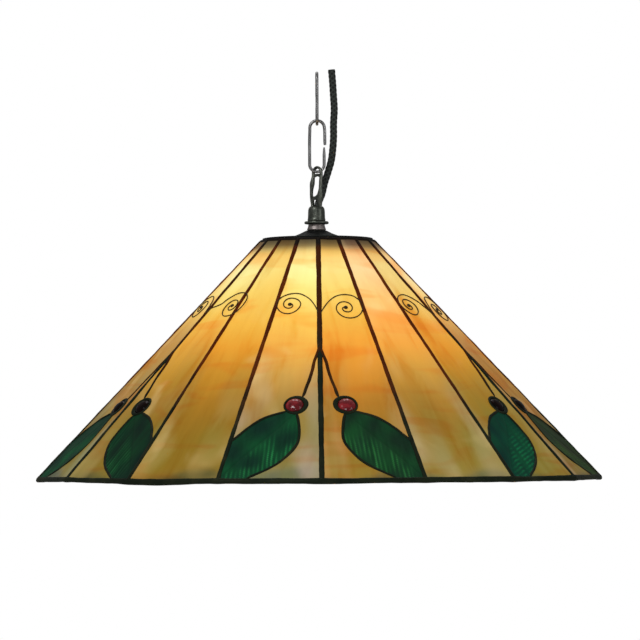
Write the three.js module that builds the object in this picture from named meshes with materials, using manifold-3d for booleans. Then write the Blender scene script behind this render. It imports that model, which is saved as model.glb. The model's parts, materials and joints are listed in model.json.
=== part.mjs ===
// Leaded-glass pendant lamp: an eighteen-sided conical shade hung by a loop cup,
// two chain links and a round flex, with a screw-base lampholder and bulb inside.
// Units are millimetres, +Z is up. The origin is on the lamp's axis, in the plane
// the shade's bottom rim would rest on. The pair of leaves at the front faces -Y.

import * as THREE from 'three';
import { mergeVertices } from 'three/addons/utils/BufferGeometryUtils.js';
import Module from 'manifold-3d';

const wasm = await Module();
wasm.setup();

// ---------------------------------------------------------------- shared dimensions

const GAP = 0.3;                     // clearance between separate pieces
const TURN_SIDES = 20;               // sides of most small turned parts
const HOLE_SIDES = 16;               // sides of round openings in flat parts

// shade
const SIDES = 18;                    // flat panels round the shade
const PAIRS = SIDES / 3;             // two leaf panels and a plain one, repeated
const RIM_R = 254.0;                 // corner radius at the bottom edge
const TOP_R = 52.7;                  // corner radius at the top edge
const SHADE_H = 213.5;               // bottom edge to top edge, along the axis
const EDGE_Z = 2.3;                  // height of the panels' bottom edge line
const GLASS_T = 3.0;                 // sheet glass thickness
const SEAM_W = 2.9;                  // solder seam between panels
const PAIR_SEAM_W = 3.6;             // heavier seam between the two leaves of a pair
const LEAD_W = 2.6;                  // solder line round a leaf and along a stem
const LEAD_IN = -1.8;                // solder, inner face, from the glass mid-plane
const LEAD_OUT = 2.2;                // solder, outer face, from the glass mid-plane

// berry and its solder ring, in panel coordinates: x towards the pair's middle
// seam, y up the panel from its bottom edge, z outwards from the glass mid-plane
const BERRY_X = 12.7;
const BERRY_Y = 86.2;
const BERRY_R = 8.4;
const BERRY_RING_R = 10.7;
const BERRY_RING_BORE = 8.95;

// leaf and stem centre lines, [x, y] in panel coordinates
const LEAF_UPPER = [
  [-38.9, 43.0], [-31.5, 52.3], [-22.9, 62.6], [-11.5, 72.0], [1.6, 77.4], [6.2, 78.4],
];
const LEAF_LOWER = [
  [14.0, 76.0], [18.2, 62.5], [19.7, 50.0], [17.9, 38.8],
  [12.5, 28.5], [4.2, 18.2], [-6.5, 10.0], [-19.0, 2.2],
];
const STEM = [[16.6, 96.0], [18.6, 108.0], [21.6, 127.0], [24.6, 152.0], [25.0, 158.0]];

// hanging parts, stacked up the threaded tube
const TUBE_R = 5.0;
const TUBE_BORE = 3.8;
const TUBE_Z0 = 203.0;
const TUBE_Z1 = 242.8;
const BORE = TUBE_R + GAP;           // hole in every part the tube passes through
const VASE_CAP_R = 50.2;
const VASE_CAP_TOP_Z = 227.0;
const COLLAR_Z0 = VASE_CAP_TOP_Z + GAP;
const COLLAR_Z1 = 232.3;
const WASHER_Z0 = COLLAR_Z1 + GAP;
const WASHER_Z1 = 235.3;
const CUP_Z0 = WASHER_Z1 + GAP;
const CUP_TOP_Z = 249.0;
const FLEX_R = 3.3;
const FLEX_HOLE_R = FLEX_R + 0.4;

// ---------------------------------------------------------------- materials

const material = (name, settings) => new THREE.MeshStandardMaterial({ name, ...settings });

const amber = material('amber_glass', { color: 0xe2a23c, roughness: 0.35, metalness: 0.0 });
const green = material('green_glass', { color: 0x12552f, roughness: 0.3, metalness: 0.0 });
const red = material('red_glass', { color: 0x8c1f22, roughness: 0.15, metalness: 0.0 });
const solder = material('dark_solder', { color: 0x241d16, roughness: 0.45, metalness: 0.85 });
const bronze = material('dark_bronze', { color: 0x3d3f38, roughness: 0.4, metalness: 0.9 });
const nickel = material('nickel', { color: 0x9c9a97, roughness: 0.25, metalness: 1.0 });
const steel = material('bright_steel', { color: 0x8d8f8f, roughness: 0.3, metalness: 1.0 });
const flex = material('black_flex', { color: 0x141716, roughness: 0.8, metalness: 0.0 });
const brass = material('brass', { color: 0xb08d45, roughness: 0.35, metalness: 1.0 });
const white = material('white_ceramic', { color: 0xe9e6dd, roughness: 0.4, metalness: 0.0 });
const opal = material('opal_bulb', { color: 0xfff3d6, roughness: 0.3, metalness: 0.0 });

// ---------------------------------------------------------------- solids and meshes

const DEG = Math.PI / 180;

const lamp = new THREE.Group();
lamp.name = 'pendant_lamp';

function add(name, geometry, surface, parent = lamp) {
  const mesh = new THREE.Mesh(geometry, surface);
  mesh.name = name;
  parent.add(mesh);
}

function toSolid(geometry) {
  // only positions, so that vertices differing in normal or uv still merge
  const bare = new THREE.BufferGeometry();
  bare.setAttribute('position', geometry.attributes.position);
  bare.setIndex(geometry.index);
  const merged = mergeVertices(bare, 1e-4);
  return new wasm.Manifold(new wasm.Mesh({
    numProp: 3,
    vertProperties: new Float32Array(merged.attributes.position.array),
    triVerts: new Uint32Array(merged.index.array),
  }));
}

function toGeometry(solid) {
  const mesh = solid.getMesh();
  const geometry = new THREE.BufferGeometry();
  const positions = new Float32Array(mesh.vertProperties);
  geometry.setAttribute('position', new THREE.BufferAttribute(positions, 3));
  geometry.setIndex(new THREE.BufferAttribute(new Uint32Array(mesh.triVerts), 1));
  geometry.computeVertexNormals();
  return geometry;
}

// A profile of [radius, z] points, counter-clockwise, turned about Z. It is closed
// unless both ends are on the axis. The first corner is at -Y.
function turned(profile, segments) {
  const points = profile.map(([radius, z]) => new THREE.Vector2(radius, z));
  if (profile[0][0] > 0 || profile.at(-1)[0] > 0) points.push(points[0].clone());
  const geometry = new THREE.LatheGeometry(points, segments);
  geometry.rotateX(Math.PI / 2);
  return geometry;
}

// ---------------------------------------------------------------- flat outlines

function shapeOf(outline, hole) {
  const shape = new THREE.Shape(outline.map(([x, y]) => new THREE.Vector2(x, y)));
  shape.closePath();
  if (hole) shape.holes.push(shapeOf(hole));
  return shape;
}

function plate(shape, z0, z1) {
  const geometry = new THREE.ExtrudeGeometry(shape, { depth: z1 - z0, bevelEnabled: false });
  geometry.translate(0, 0, z0);
  return geometry;
}

// Arc about (x, y) in equal steps, both ends included; angles in degrees.
function arcPoints(x, y, radius, from, to, steps) {
  return Array.from({ length: steps + 1 }, (_, i) => {
    const angle = (from + (to - from) * i / steps) * DEG;
    return [x + radius * Math.cos(angle), y + radius * Math.sin(angle)];
  });
}

// Corners of a regular polygon.
function polygonPoints(x, y, radius, sides, start = 0) {
  return arcPoints(x, y, radius, start, start + 360 * (sides - 1) / sides, sides - 1);
}

const mirrored = (points, side) => points.map(([x, y]) => [x * side, y]);

// Offset an open polyline to its left (negative distance: to its right).
function offsetLine(points, distance) {
  return points.map(([x, y], i) => {
    const before = points[Math.max(i - 1, 0)];
    const after = points[Math.min(i + 1, points.length - 1)];
    const dx = after[0] - before[0];
    const dy = after[1] - before[1];
    const length = Math.hypot(dx, dy);
    return [x - distance * dy / length, y + distance * dx / length];
  });
}

function strip(points, width) {
  return [...offsetLine(points, -width / 2), ...offsetLine(points, width / 2).reverse()];
}

// Where the line through two points crosses a straight edge; distanceTo measures
// how far a point is from that edge.
function crossing(start, end, distanceTo) {
  const along = distanceTo(start) / (distanceTo(start) - distanceTo(end));
  return start.map((value, i) => value + (end[i] - value) * along);
}

// ---------------------------------------------------------------- bent rods

// A path made of straight pieces; steps along it land exactly on its points.
class PointPath extends THREE.Curve {
  constructor(points) {
    super();
    this.points = points;
  }

  getPointAt(fraction, target = new THREE.Vector3()) {
    return target.copy(this.points[Math.round(fraction * (this.points.length - 1))]);
  }

  getTangentAt(fraction, target = new THREE.Vector3()) {
    const last = this.points.length - 1;
    const i = Math.round(fraction * last);
    const here = this.points[i];
    const before = here.clone().sub(this.points[Math.max(i - 1, 0)]).normalize();
    const after = this.points[Math.min(i + 1, last)].clone().sub(here).normalize();
    return target.copy(before.add(after)).normalize();
  }
}

// Bar along [x, y, z] points; its flats, not its corners, lie at the radius.
function rod(points, radius, sides) {
  const section = polygonPoints(0, 0, radius / Math.cos(Math.PI / sides), sides, 180 / sides);
  return new THREE.ExtrudeGeometry(shapeOf(section), {
    steps: points.length - 1,
    extrudePath: new PointPath(points.map((point) => new THREE.Vector3(...point))),
    bevelEnabled: false,
  });
}

// Rod bent in an upright plane through the axis: points are [across, z], and the
// plane is turned by some degrees from +X.
function uprightRod(points, turn, radius, sides) {
  const cos = Math.cos(turn * DEG);
  const sin = Math.sin(turn * DEG);
  return rod(points.map(([across, z]) => [across * cos, across * sin, z]), radius, sides);
}

// ---------------------------------------------------------------- panel frame

const PANEL_TURN = 360 / SIDES;
const PAIR_TURN = 360 / PAIRS;
const HALF_ANGLE = Math.PI / SIDES;
const RIM_APOTHEM = RIM_R * Math.cos(HALF_ANGLE);
const TOP_APOTHEM = TOP_R * Math.cos(HALF_ANGLE);
const SLANT = Math.hypot(RIM_APOTHEM - TOP_APOTHEM, SHADE_H);
const LEAN = (RIM_APOTHEM - TOP_APOTHEM) / SLANT;   // panel leans in by this much per mm
const RISE = SHADE_H / SLANT;                       // and rises by this much

const RIM_HALF_W = RIM_R * Math.sin(HALF_ANGLE);
const TOP_HALF_W = TOP_R * Math.sin(HALF_ANGLE);
const halfWidth = (y) => RIM_HALF_W + (TOP_HALF_W - RIM_HALF_W) * y / SLANT;

// Frame of the panel whose middle is some degrees from -Y: x along the panel,
// y up its slope, z outwards.
function panelGroup(angle) {
  const cos = Math.cos(angle * DEG);
  const sin = Math.sin(angle * DEG);
  const along = new THREE.Vector3(cos, sin, 0);
  const up = new THREE.Vector3(-sin * LEAN, cos * LEAN, RISE);
  const out = new THREE.Vector3(sin * RISE, -cos * RISE, LEAN);
  const group = new THREE.Group();
  group.position.set(sin * RIM_APOTHEM, -cos * RIM_APOTHEM, EDGE_Z);
  group.quaternion.setFromRotationMatrix(new THREE.Matrix4().makeBasis(along, up, out));
  group.updateMatrix();
  return group;
}

// Leaf panel of a pair: side 1 is left of the middle seam seen from outside, -1 right.
const leafPanelGroup = (pair, side) => panelGroup(PAIR_TURN * pair - side * PANEL_TURN / 2);

// ---------------------------------------------------------------- glass

const BAND_REACH = 2.0;              // how far the edge bands reach over the glass
const BASE_Y = BAND_REACH + GAP;
const TOP_Y = SLANT - BAND_REACH - GAP;
const SEAM_CLEAR = 0.45;             // glass edge to the side of a seam bar
const PLAIN_INSET = SEAM_W / 2 + SEAM_CLEAR;
const PAIR_INSET = PAIR_SEAM_W / 2 + SEAM_CLEAR;
const LEAD_CLEAR = LEAD_W / 2 + GAP;
const BERRY_CUT_R = BERRY_RING_R + GAP + 0.35;

// leaf's edge below the berry, [x, y] in panel coordinates
const LEAF_BERRY_EDGE = [[6.3, 76.6], [9.5, 75.4], [12.9, 74.6]];

// [radius, z]
const BERRY_PROFILE = [
  [0, -GLASS_T / 2], [BERRY_R, -GLASS_T / 2], [BERRY_R, 1.3], [6.5, 3.5], [3.5, 4.6], [0, 4.9],
];

const paneEdge = (y, inset) => halfWidth(y) - inset;
const glassSheet = (outline) => plate(shapeOf(outline), -GLASS_T / 2, GLASS_T / 2);

// Glass edges beside the leaf's solder lines, less their berry end; a positive
// offset is away from the leaf.
function upperGlassEdge(offset) {
  const line = offsetLine(LEAF_UPPER, offset);
  line[0] = crossing(line[0], line[1], ([x, y]) => x + paneEdge(y, PLAIN_INSET));
  return line.slice(0, -1);
}

function lowerGlassEdge(offset) {
  const line = offsetLine(LEAF_LOWER, offset);
  line.push(crossing(...line.splice(-2, 2, line.at(-2)), ([, y]) => y - BASE_Y));
  return line.slice(1);
}

function plainPane() {
  return glassSheet([
    [-paneEdge(BASE_Y, PLAIN_INSET), BASE_Y], [paneEdge(BASE_Y, PLAIN_INSET), BASE_Y],
    [paneEdge(TOP_Y, PLAIN_INSET), TOP_Y], [-paneEdge(TOP_Y, PLAIN_INSET), TOP_Y],
  ]);
}

// the panel less the leaf and berry in its lower outer corner
function leafPanelPane(side) {
  return glassSheet(mirrored([
    ...upperGlassEdge(LEAD_CLEAR),
    ...arcPoints(BERRY_X, BERRY_Y, BERRY_CUT_R, 216, -58, 10),
    ...lowerGlassEdge(LEAD_CLEAR),
    [paneEdge(BASE_Y, PAIR_INSET), BASE_Y],
    [paneEdge(TOP_Y, PAIR_INSET), TOP_Y],
    [-paneEdge(TOP_Y, PLAIN_INSET), TOP_Y],
  ], side));
}

// bounded by the leaf's two solder lines, the outer seam and the rim
function leafPane(side) {
  return glassSheet(mirrored([
    ...upperGlassEdge(-LEAD_CLEAR),
    ...LEAF_BERRY_EDGE,
    ...lowerGlassEdge(-LEAD_CLEAR),
    [-paneEdge(BASE_Y, PLAIN_INSET), BASE_Y],
  ], side));
}

function berry(side) {
  const geometry = turned(BERRY_PROFILE, 12);
  geometry.translate(side * BERRY_X, BERRY_Y, 0);
  return geometry;
}

for (let pair = 0; pair < PAIRS; pair++) {
  const number = pair + 1;
  for (const side of [1, -1]) {
    const label = `${number}${side > 0 ? 'L' : 'R'}`;
    const group = leafPanelGroup(pair, side);
    lamp.add(group);
    add(`amber_pane_${label}`, leafPanelPane(side), amber, group);
    add(`leaf_pane_${label}`, leafPane(side), green, group);
    add(`berry_${label}`, berry(side), red, group);
  }
  const group = panelGroup(PAIR_TURN * (pair + 0.5));
  lamp.add(group);
  add(`plain_pane_${number}`, plainPane(), amber, group);
}

// ---------------------------------------------------------------- solder lattice

// edge band sections across a panel's middle, [outwards, up] from the glass edge line
const RIM_BAND = [
  [-1.5, -2.3], [1.4, -2.3], [2.5, -1.0], [1.9, 1.2], [0.03, 2.76], [-2.75, 0.17], [-2.6, -1.4],
];
const TOP_BAND = [
  [2.75, -0.17], [2.3, 1.4], [1.0, 2.2], [-3.4, 2.2], [-3.4, 0.4], [-0.03, -2.76],
];

const SEAM_END = 0.8;                // seam bar stops this far short of each corner
const SEAM_SHOULDER = 1.4;           // height where the bar starts to narrow
const SEAM_RIDGE = LEAD_OUT + 0.2;   // height of its flat top
const SEAM_RIDGE_SHARE = 0.45;       // width of the flat top, as a share of the bar's
const RING_PROUD = 0.1;              // berry ring beyond the solder lines, each face
const STEM_PROUD = 0.5;              // stem beyond the solder lines, outer face
const STEM_FILL_Y = 128.0;           // solder fills the fork from just above this height
const STEM_FILL_STEP = 3;            // the fill's lowest corner is this far above it
const STEM_SEAM_INSET = 0.5;         // fill's edge, short of the seam's centre line

// The band's corners land on the seams.
function band(apothem, z, section) {
  const profile = section.map(([out, up]) => [(apothem + out) / Math.cos(HALF_ANGLE), z + up]);
  return turned(profile, SIDES);
}

// Bar along the corner line between two panels, counted from the one at -Y.
function seamBar(index) {
  const half = (index % 3 === 0 ? PAIR_SEAM_W : SEAM_W) / 2;
  const ridge = half * SEAM_RIDGE_SHARE;
  const section = shapeOf([
    [-half, LEAD_IN], [half, LEAD_IN], [half, SEAM_SHOULDER],
    [ridge, SEAM_RIDGE], [-ridge, SEAM_RIDGE], [-half, SEAM_SHOULDER],
  ]);
  const length = Math.hypot(RIM_R - TOP_R, SHADE_H);
  const bar = plate(section, SEAM_END, length - SEAM_END);

  // bar z up the seam, bar y outwards
  const lean = Math.atan2(RIM_R - TOP_R, SHADE_H);
  const along = new THREE.Vector3(-1, 0, 0);
  const out = new THREE.Vector3(0, -Math.cos(lean), Math.sin(lean));
  const up = new THREE.Vector3(0, Math.sin(lean), Math.cos(lean));
  bar.applyMatrix4(new THREE.Matrix4().makeBasis(along, out, up));
  bar.translate(0, -RIM_R, EDGE_Z);
  bar.rotateZ(index * PANEL_TURN * DEG);
  return bar;
}

function leafLead(line, side) {
  return plate(shapeOf(mirrored(strip(line, LEAD_W), side)), LEAD_IN, LEAD_OUT);
}

function berryRing(side) {
  const circle = (radius) => polygonPoints(side * BERRY_X, BERRY_Y, radius, HOLE_SIDES);
  const ring = shapeOf(circle(BERRY_RING_R), circle(BERRY_RING_BORE));
  return plate(ring, LEAD_IN - RING_PROUD, LEAD_OUT + RING_PROUD);
}

// The stem runs over the outside of the sheet and fills the fork at its top.
function stem(side) {
  const topY = STEM.at(-1)[1];
  const outline = [
    ...offsetLine(STEM.slice(0, 3), -LEAD_W / 2),
    [halfWidth(STEM_FILL_Y) - STEM_SEAM_INSET, STEM_FILL_Y + STEM_FILL_STEP],
    [halfWidth(topY) - STEM_SEAM_INSET, topY],
    ...offsetLine(STEM, LEAD_W / 2).reverse(),
  ];
  return plate(shapeOf(mirrored(outline, side)), GLASS_T / 2 + GAP, LEAD_OUT + STEM_PROUD);
}

// One rigid frame: rim, top band, seams, and the lines round each leaf, berry and stem.
function lattice() {
  const parts = [
    band(RIM_APOTHEM, EDGE_Z, RIM_BAND),
    band(TOP_APOTHEM, EDGE_Z + SHADE_H, TOP_BAND),
  ];
  for (let index = 0; index < SIDES; index++) parts.push(seamBar(index));
  for (let pair = 0; pair < PAIRS; pair++) {
    for (const side of [1, -1]) {
      const { matrix } = leafPanelGroup(pair, side);
      const leads = [
        leafLead(LEAF_UPPER, side), leafLead(LEAF_LOWER, side), berryRing(side), stem(side),
      ];
      for (const lead of leads) parts.push(lead.applyMatrix4(matrix));
    }
  }
  return toGeometry(parts.map(toSolid).reduce((whole, part) => whole.add(part)));
}
add('solder_lattice', lattice(), solder);

// ---------------------------------------------------------------- top hardware
// Turned profiles here and below are [radius, z].

const VASE_CAP = [
  [43, 218.3], [VASE_CAP_R, 218.3], [VASE_CAP_R, 219.6], [20, 221.4], [8.8, VASE_CAP_TOP_Z],
  [BORE, VASE_CAP_TOP_Z], [BORE, 225.7], [8.3, 225.6], [19.2, 220.2], [43, 219.0],
];
add('vase_cap', turned(VASE_CAP, 24), bronze);

const NECK_COLLAR = [
  [BORE, COLLAR_Z0], [8.3, COLLAR_Z0], [8.3, 228.6], [7.5, COLLAR_Z1], [BORE, COLLAR_Z1],
];
add('neck_collar', turned(NECK_COLLAR, TURN_SIDES), nickel);

const FLANGE_WASHER = [
  [BORE, WASHER_Z0], [9.7, WASHER_Z0], [10.5, 233.3], [10.5, 234.6], [9.8, WASHER_Z1],
  [BORE, WASHER_Z1],
];
add('flange_washer', turned(FLANGE_WASHER, TURN_SIDES), bronze);

// Loop cup: sits round the threaded tube; the flex comes in through its top,
// between the loop's legs.
const CUP = [
  [BORE, CUP_Z0], [7.9, CUP_Z0], [7.9, 237.4], [7.25, 238.6], [7.25, 246.3], [5.9, CUP_TOP_Z],
  [FLEX_HOLE_R, CUP_TOP_Z], [FLEX_HOLE_R, 244.0], [BORE, 243.2],
];
// one leg of the loop, [distance from the axis, z]
const LOOP_LEG = [
  [4.9, 246.4], [5.2, 250.5], [5.9, 256.0], [6.3, 262.0], [6.2, 268.5], [5.7, 275.0],
];
const LOOP_WIRE_R = 1.55;
const LOOP_BEND_R = 5.6;
const LOOP_TOP_Z = 284.75;           // loop wire centre at its top
const LOOP_TURN = -50;               // degrees the loop is turned about the axis
// cutter that clears the flex's way past the feet of the legs
const CUP_CUTTER = [[0, 243.6], [FLEX_HOLE_R, 243.6], [FLEX_HOLE_R, 251.5], [0, 251.5]];

function loopCup() {
  const centreLine = [
    ...LOOP_LEG,
    ...arcPoints(0, LOOP_TOP_Z - LOOP_BEND_R, LOOP_BEND_R, 8, 172, 6),
    ...mirrored(LOOP_LEG, -1).reverse(),
  ];
  const loop = toSolid(uprightRod(centreLine, LOOP_TURN, LOOP_WIRE_R, 12));
  const cup = toSolid(turned(CUP, TURN_SIDES));
  const cutter = toSolid(turned(CUP_CUTTER, TURN_SIDES));
  return toGeometry(cup.add(loop).subtract(cutter));
}
add('loop_cup', loopCup(), bronze);

// ---------------------------------------------------------------- chain and flex

const LINK_WIRE_R = 1.4;
const LINK_BEND_R = 7.6;             // wire centre to link centre line
const LINK_LEN = 46.7;               // between wire centres, end to end
const LINK_JOINT = 2.0;              // open butt joint in one leg
const LINK_OVERLAP = 3.35;           // end wire centre to end wire centre, where links hook
const LOWER_LINK_Z = 280.6;          // centre of the link's bottom wire
const UPPER_LINK_Z = LOWER_LINK_Z + LINK_LEN - LINK_OVERLAP;

// Bent wire with an open butt joint half-way up one leg.
function link(bottomZ, turn, sides) {
  const middleZ = bottomZ + LINK_LEN / 2;
  const centreLine = [
    [LINK_BEND_R, middleZ - LINK_JOINT / 2],
    ...arcPoints(0, bottomZ + LINK_BEND_R, LINK_BEND_R, 0, -180, 7),
    ...arcPoints(0, bottomZ + LINK_LEN - LINK_BEND_R, LINK_BEND_R, 180, 0, 7),
    [LINK_BEND_R, middleZ + LINK_JOINT / 2],
  ];
  return uprightRod(centreLine, turn, LINK_WIRE_R, sides);
}
add('chain_link_lower', link(LOWER_LINK_Z, 0, 12), steel);
add('chain_link_upper', link(UPPER_LINK_Z, 90, 8), steel);

// Flex centre lines, [x, y, z]: three stretches with open spaces between them.
const FLEX_LINES = {
  flex_upper: [[13.5, 6.5, 374.5], [14.5, 6.5, 362], [15.2, 6.0, 350], [15.8, 5.2, 338]],
  flex_middle: [[16.6, 3.2, 312], [16.3, 3.6, 301], [14.4, 5.0, 290.5]],
  flex_lower: [[0, 0, 206], [0, 0, 228], [0, 0, 251]],
};
for (const [name, line] of Object.entries(FLEX_LINES)) add(name, rod(line, FLEX_R, 8), flex);

// ---------------------------------------------------------------- inside the shade

const THREADED_TUBE = [
  [TUBE_BORE, TUBE_Z0], [TUBE_R, TUBE_Z0], [TUBE_R, TUBE_Z1], [TUBE_BORE, TUBE_Z1],
];
add('threaded_tube', turned(THREADED_TUBE, TURN_SIDES), brass);

const TUBE_HOLE = polygonPoints(0, 0, BORE, HOLE_SIDES);

// Crossbar that carries the shade by its top band, widened round the tube.
const CROSSBAR_Z0 = 214.6;
const CROSSBAR_Z1 = 216.8;
// [x, y] of one long side
const CROSSBAR_SIDE = [[-46, -6], [-10.4, -6], [-6, -10.4], [6, -10.4], [10.4, -6], [46, -6]];

function crossbar() {
  const otherSide = CROSSBAR_SIDE.map(([x, y]) => [-x, -y]);
  const outline = [...CROSSBAR_SIDE, ...otherSide];
  const geometry = plate(shapeOf(outline, TUBE_HOLE), CROSSBAR_Z0, CROSSBAR_Z1);
  geometry.rotateZ(PANEL_TURN / 2 * DEG);
  return geometry;
}
add('crossbar', crossbar(), brass);

// Hexagon nut under the crossbar.
const NUT_ACROSS_FLATS = 14;
const NUT_Z0 = 209.6;
const NUT_CORNERS = polygonPoints(0, 0, NUT_ACROSS_FLATS / 2 / Math.cos(Math.PI / 6), 6);
add('lock_nut', plate(shapeOf(NUT_CORNERS, TUBE_HOLE), NUT_Z0, CROSSBAR_Z0 - GAP), brass);

const SHELL_TOP_Z = 185.0;
const HOLDER_CAP_Z0 = SHELL_TOP_Z + GAP;
const CORE_TOP_Z = SHELL_TOP_Z - GAP;

const LAMPHOLDER_CAP = [
  [17.8, HOLDER_CAP_Z0], [19.6, HOLDER_CAP_Z0], [19.6, 192], [17, 200], [10, 206.4], [8, 209.2],
  [BORE, 209.2], [BORE, 204], [9, 203.2], [15.4, 198], [17.8, 191.5],
];
add('lampholder_cap', turned(LAMPHOLDER_CAP, TURN_SIDES), brass);

const LAMPHOLDER_SHELL = [
  [15.0, 148.0], [17.2, 148.0], [19.4, 151.0], [19.4, SHELL_TOP_Z], [17.6, SHELL_TOP_Z],
  [17.6, 152.0], [15.0, 150.2],
];
add('lampholder_shell', turned(LAMPHOLDER_SHELL, TURN_SIDES), brass);

const LAMPHOLDER_CORE = [
  [0, 176.8], [4, 176.8], [4, 178.2], [17.2, 178.2], [17.2, CORE_TOP_Z], [0, CORE_TOP_Z],
];
add('lampholder_core', turned(LAMPHOLDER_CORE, TURN_SIDES), white);

const BULB_CAP = [
  [12.2, 149.8], [13.3, 149.8], [13.3, 171.0], [10, 173.8], [5, 174.6], [4.5, 176.4],
  [0, 176.4], [0, 173.8], [9.2, 172.4], [12.2, 170.2],
];
add('bulb_cap', turned(BULB_CAP, TURN_SIDES), nickel);

// up the outside of the glass, then back down the inside
const BULB_GLASS = [
  [0, 66], [12, 68.3], [21, 74.5], [27.5, 84], [30, 97], [28.5, 110],
  [24, 122], [18.5, 134], [14.4, 143], [12.8, 149.4],
  [11.8, 149.4], [13.3, 142.6], [17.4, 133.6], [22.9, 121.6],
  [27.4, 110], [28.9, 97], [26.5, 84.6], [20.4, 75.4], [11.7, 69.4], [0, 67.2],
];
add('bulb_glass', turned(BULB_GLASS, 18), opal);

export default lamp;
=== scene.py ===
"""A leaded-glass pendant shade, lit from within and hung on a chain.

The shade is an 18-sided cone of amber panes with green leaves and red jewels, soldered
together. Above it are a cap, a cast loop, two chain links and a braided flex; a bulb hangs
inside. Z is up and the shade's axis, its rim is just above Z = 0, and the camera looks
along +Y. Lengths are millimetres until a mesh is made; bearings are degrees about Z from -Y.
"""
import bpy, json, math, random
import numpy as np
from mathutils import Vector, Matrix, geometry

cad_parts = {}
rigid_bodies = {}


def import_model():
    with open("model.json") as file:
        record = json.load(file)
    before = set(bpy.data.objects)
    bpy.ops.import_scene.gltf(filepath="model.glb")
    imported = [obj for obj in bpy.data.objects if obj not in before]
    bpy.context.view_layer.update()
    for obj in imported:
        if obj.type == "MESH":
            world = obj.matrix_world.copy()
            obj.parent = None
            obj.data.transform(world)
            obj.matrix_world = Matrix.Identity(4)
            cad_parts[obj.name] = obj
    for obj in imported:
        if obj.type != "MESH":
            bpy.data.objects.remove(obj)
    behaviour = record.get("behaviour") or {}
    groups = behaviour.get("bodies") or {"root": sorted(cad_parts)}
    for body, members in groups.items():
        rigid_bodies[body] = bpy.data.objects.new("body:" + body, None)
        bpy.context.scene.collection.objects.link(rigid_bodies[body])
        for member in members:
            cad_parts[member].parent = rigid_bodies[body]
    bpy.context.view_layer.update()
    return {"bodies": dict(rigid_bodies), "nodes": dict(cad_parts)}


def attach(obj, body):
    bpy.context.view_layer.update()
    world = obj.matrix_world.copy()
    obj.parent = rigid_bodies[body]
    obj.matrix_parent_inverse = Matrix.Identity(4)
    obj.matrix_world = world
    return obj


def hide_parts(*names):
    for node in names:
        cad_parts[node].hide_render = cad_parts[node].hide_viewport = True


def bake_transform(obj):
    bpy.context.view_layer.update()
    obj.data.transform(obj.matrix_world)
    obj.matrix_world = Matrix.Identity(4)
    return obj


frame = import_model()
MM = 0.001

# ------------------------------------------------------------------ dimensions

SIDES = 18
FACET = 360 // SIDES                    # degrees of one flat
REPEAT = 3 * FACET                      # the pattern is left leaf, right leaf, plain
RIM_RADIUS, TOP_RADIUS = 254.6, 51.5    # to the corners
SHADE_HEIGHT, RIM_Z = 213.5, 2.3
FLAT_RATIO = math.cos(math.pi / SIDES)
RIM_APOTHEM, TOP_APOTHEM = RIM_RADIUS * FLAT_RATIO, TOP_RADIUS * FLAT_RATIO
SLANT = math.hypot(RIM_APOTHEM - TOP_APOTHEM, SHADE_HEIGHT)
RIM_HALF = RIM_RADIUS * math.sin(math.pi / SIDES)
TOP_HALF = TOP_RADIUS * math.sin(math.pi / SIDES)

GLASS_FACE = 1.5                        # the glass lies between -1.5 and 1.5 off its plane
SEAM_HALF, PAIR_SEAM_HALF, LINE_HALF, STEM_HALF = 2.1, 2.5, 1.5, 1.7
BEAD_RISE, BEAD_WOBBLE = 2.35, 0.07
BERRY = (12.7, 86.2)                    # centre of the jewel's ring on its panel
RING_MID, RING_HALF = 9.9, 1.2
JEWEL_RADIUS, JEWEL_SHIFT = 8.0, -1.4   # the jewel sits to one side in its ring

# Lines on a leaf panel: (x along the panel, y up its slope)
LEAF_UPPER = [
    (-39.4, 42.4), (-38.9, 43.0), (-36.3, 46.5), (-32.3, 51.3), (-28.0, 57.0), (-22.9, 62.6),
    (-17.5, 67.6), (-11.5, 72.0), (-4.7, 75.1), (1.6, 77.5), (5.6, 79.0)]
LEAF_LOWER = [
    (14.2, 77.0), (17.0, 66.5), (19.2, 55.0), (19.5, 45.2), (16.9, 36.4), (12.5, 28.5),
    (7.0, 21.0), (1.1, 15.4), (-4.8, 11.0), (-10.9, 7.2), (-16.0, 4.0), (-19.5, 1.8)]
STEM = [
    (17.0, 95.4), (18.1, 99.4), (19.2, 107.0), (20.8, 116.0), (22.0, 127.0), (22.7, 138.4),
    (24.2, 147.1), (25.2, 154.0), (25.4, 160.0)]
SCROLL_LEFT = [
    (20.3, 195.5), (19.0, 199.4), (17.0, 204.0), (13.9, 209.5), (10.3, 214.6), (6.0, 218.4),
    (1.5, 221.0), (-3.0, 222.0), (-7.6, 221.4), (-12.0, 219.6), (-15.6, 216.6), (-18.0, 212.2),
    (-18.4, 207.2), (-16.7, 202.6), (-13.8, 199.0), (-10.0, 197.0), (-5.8, 196.8), (-1.8, 198.9),
    (1.2, 202.2), (2.7, 206.2), (2.6, 209.9), (0.6, 213.2), (-2.4, 215.3), (-5.9, 216.0),
    (-9.3, 215.2), (-11.7, 212.6), (-12.5, 209.3), (-11.7, 206.2), (-9.6, 204.0), (-6.9, 203.4),
    (-4.6, 204.7), (-3.9, 206.9), (-4.9, 208.6), (-6.3, 208.7)]
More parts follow.
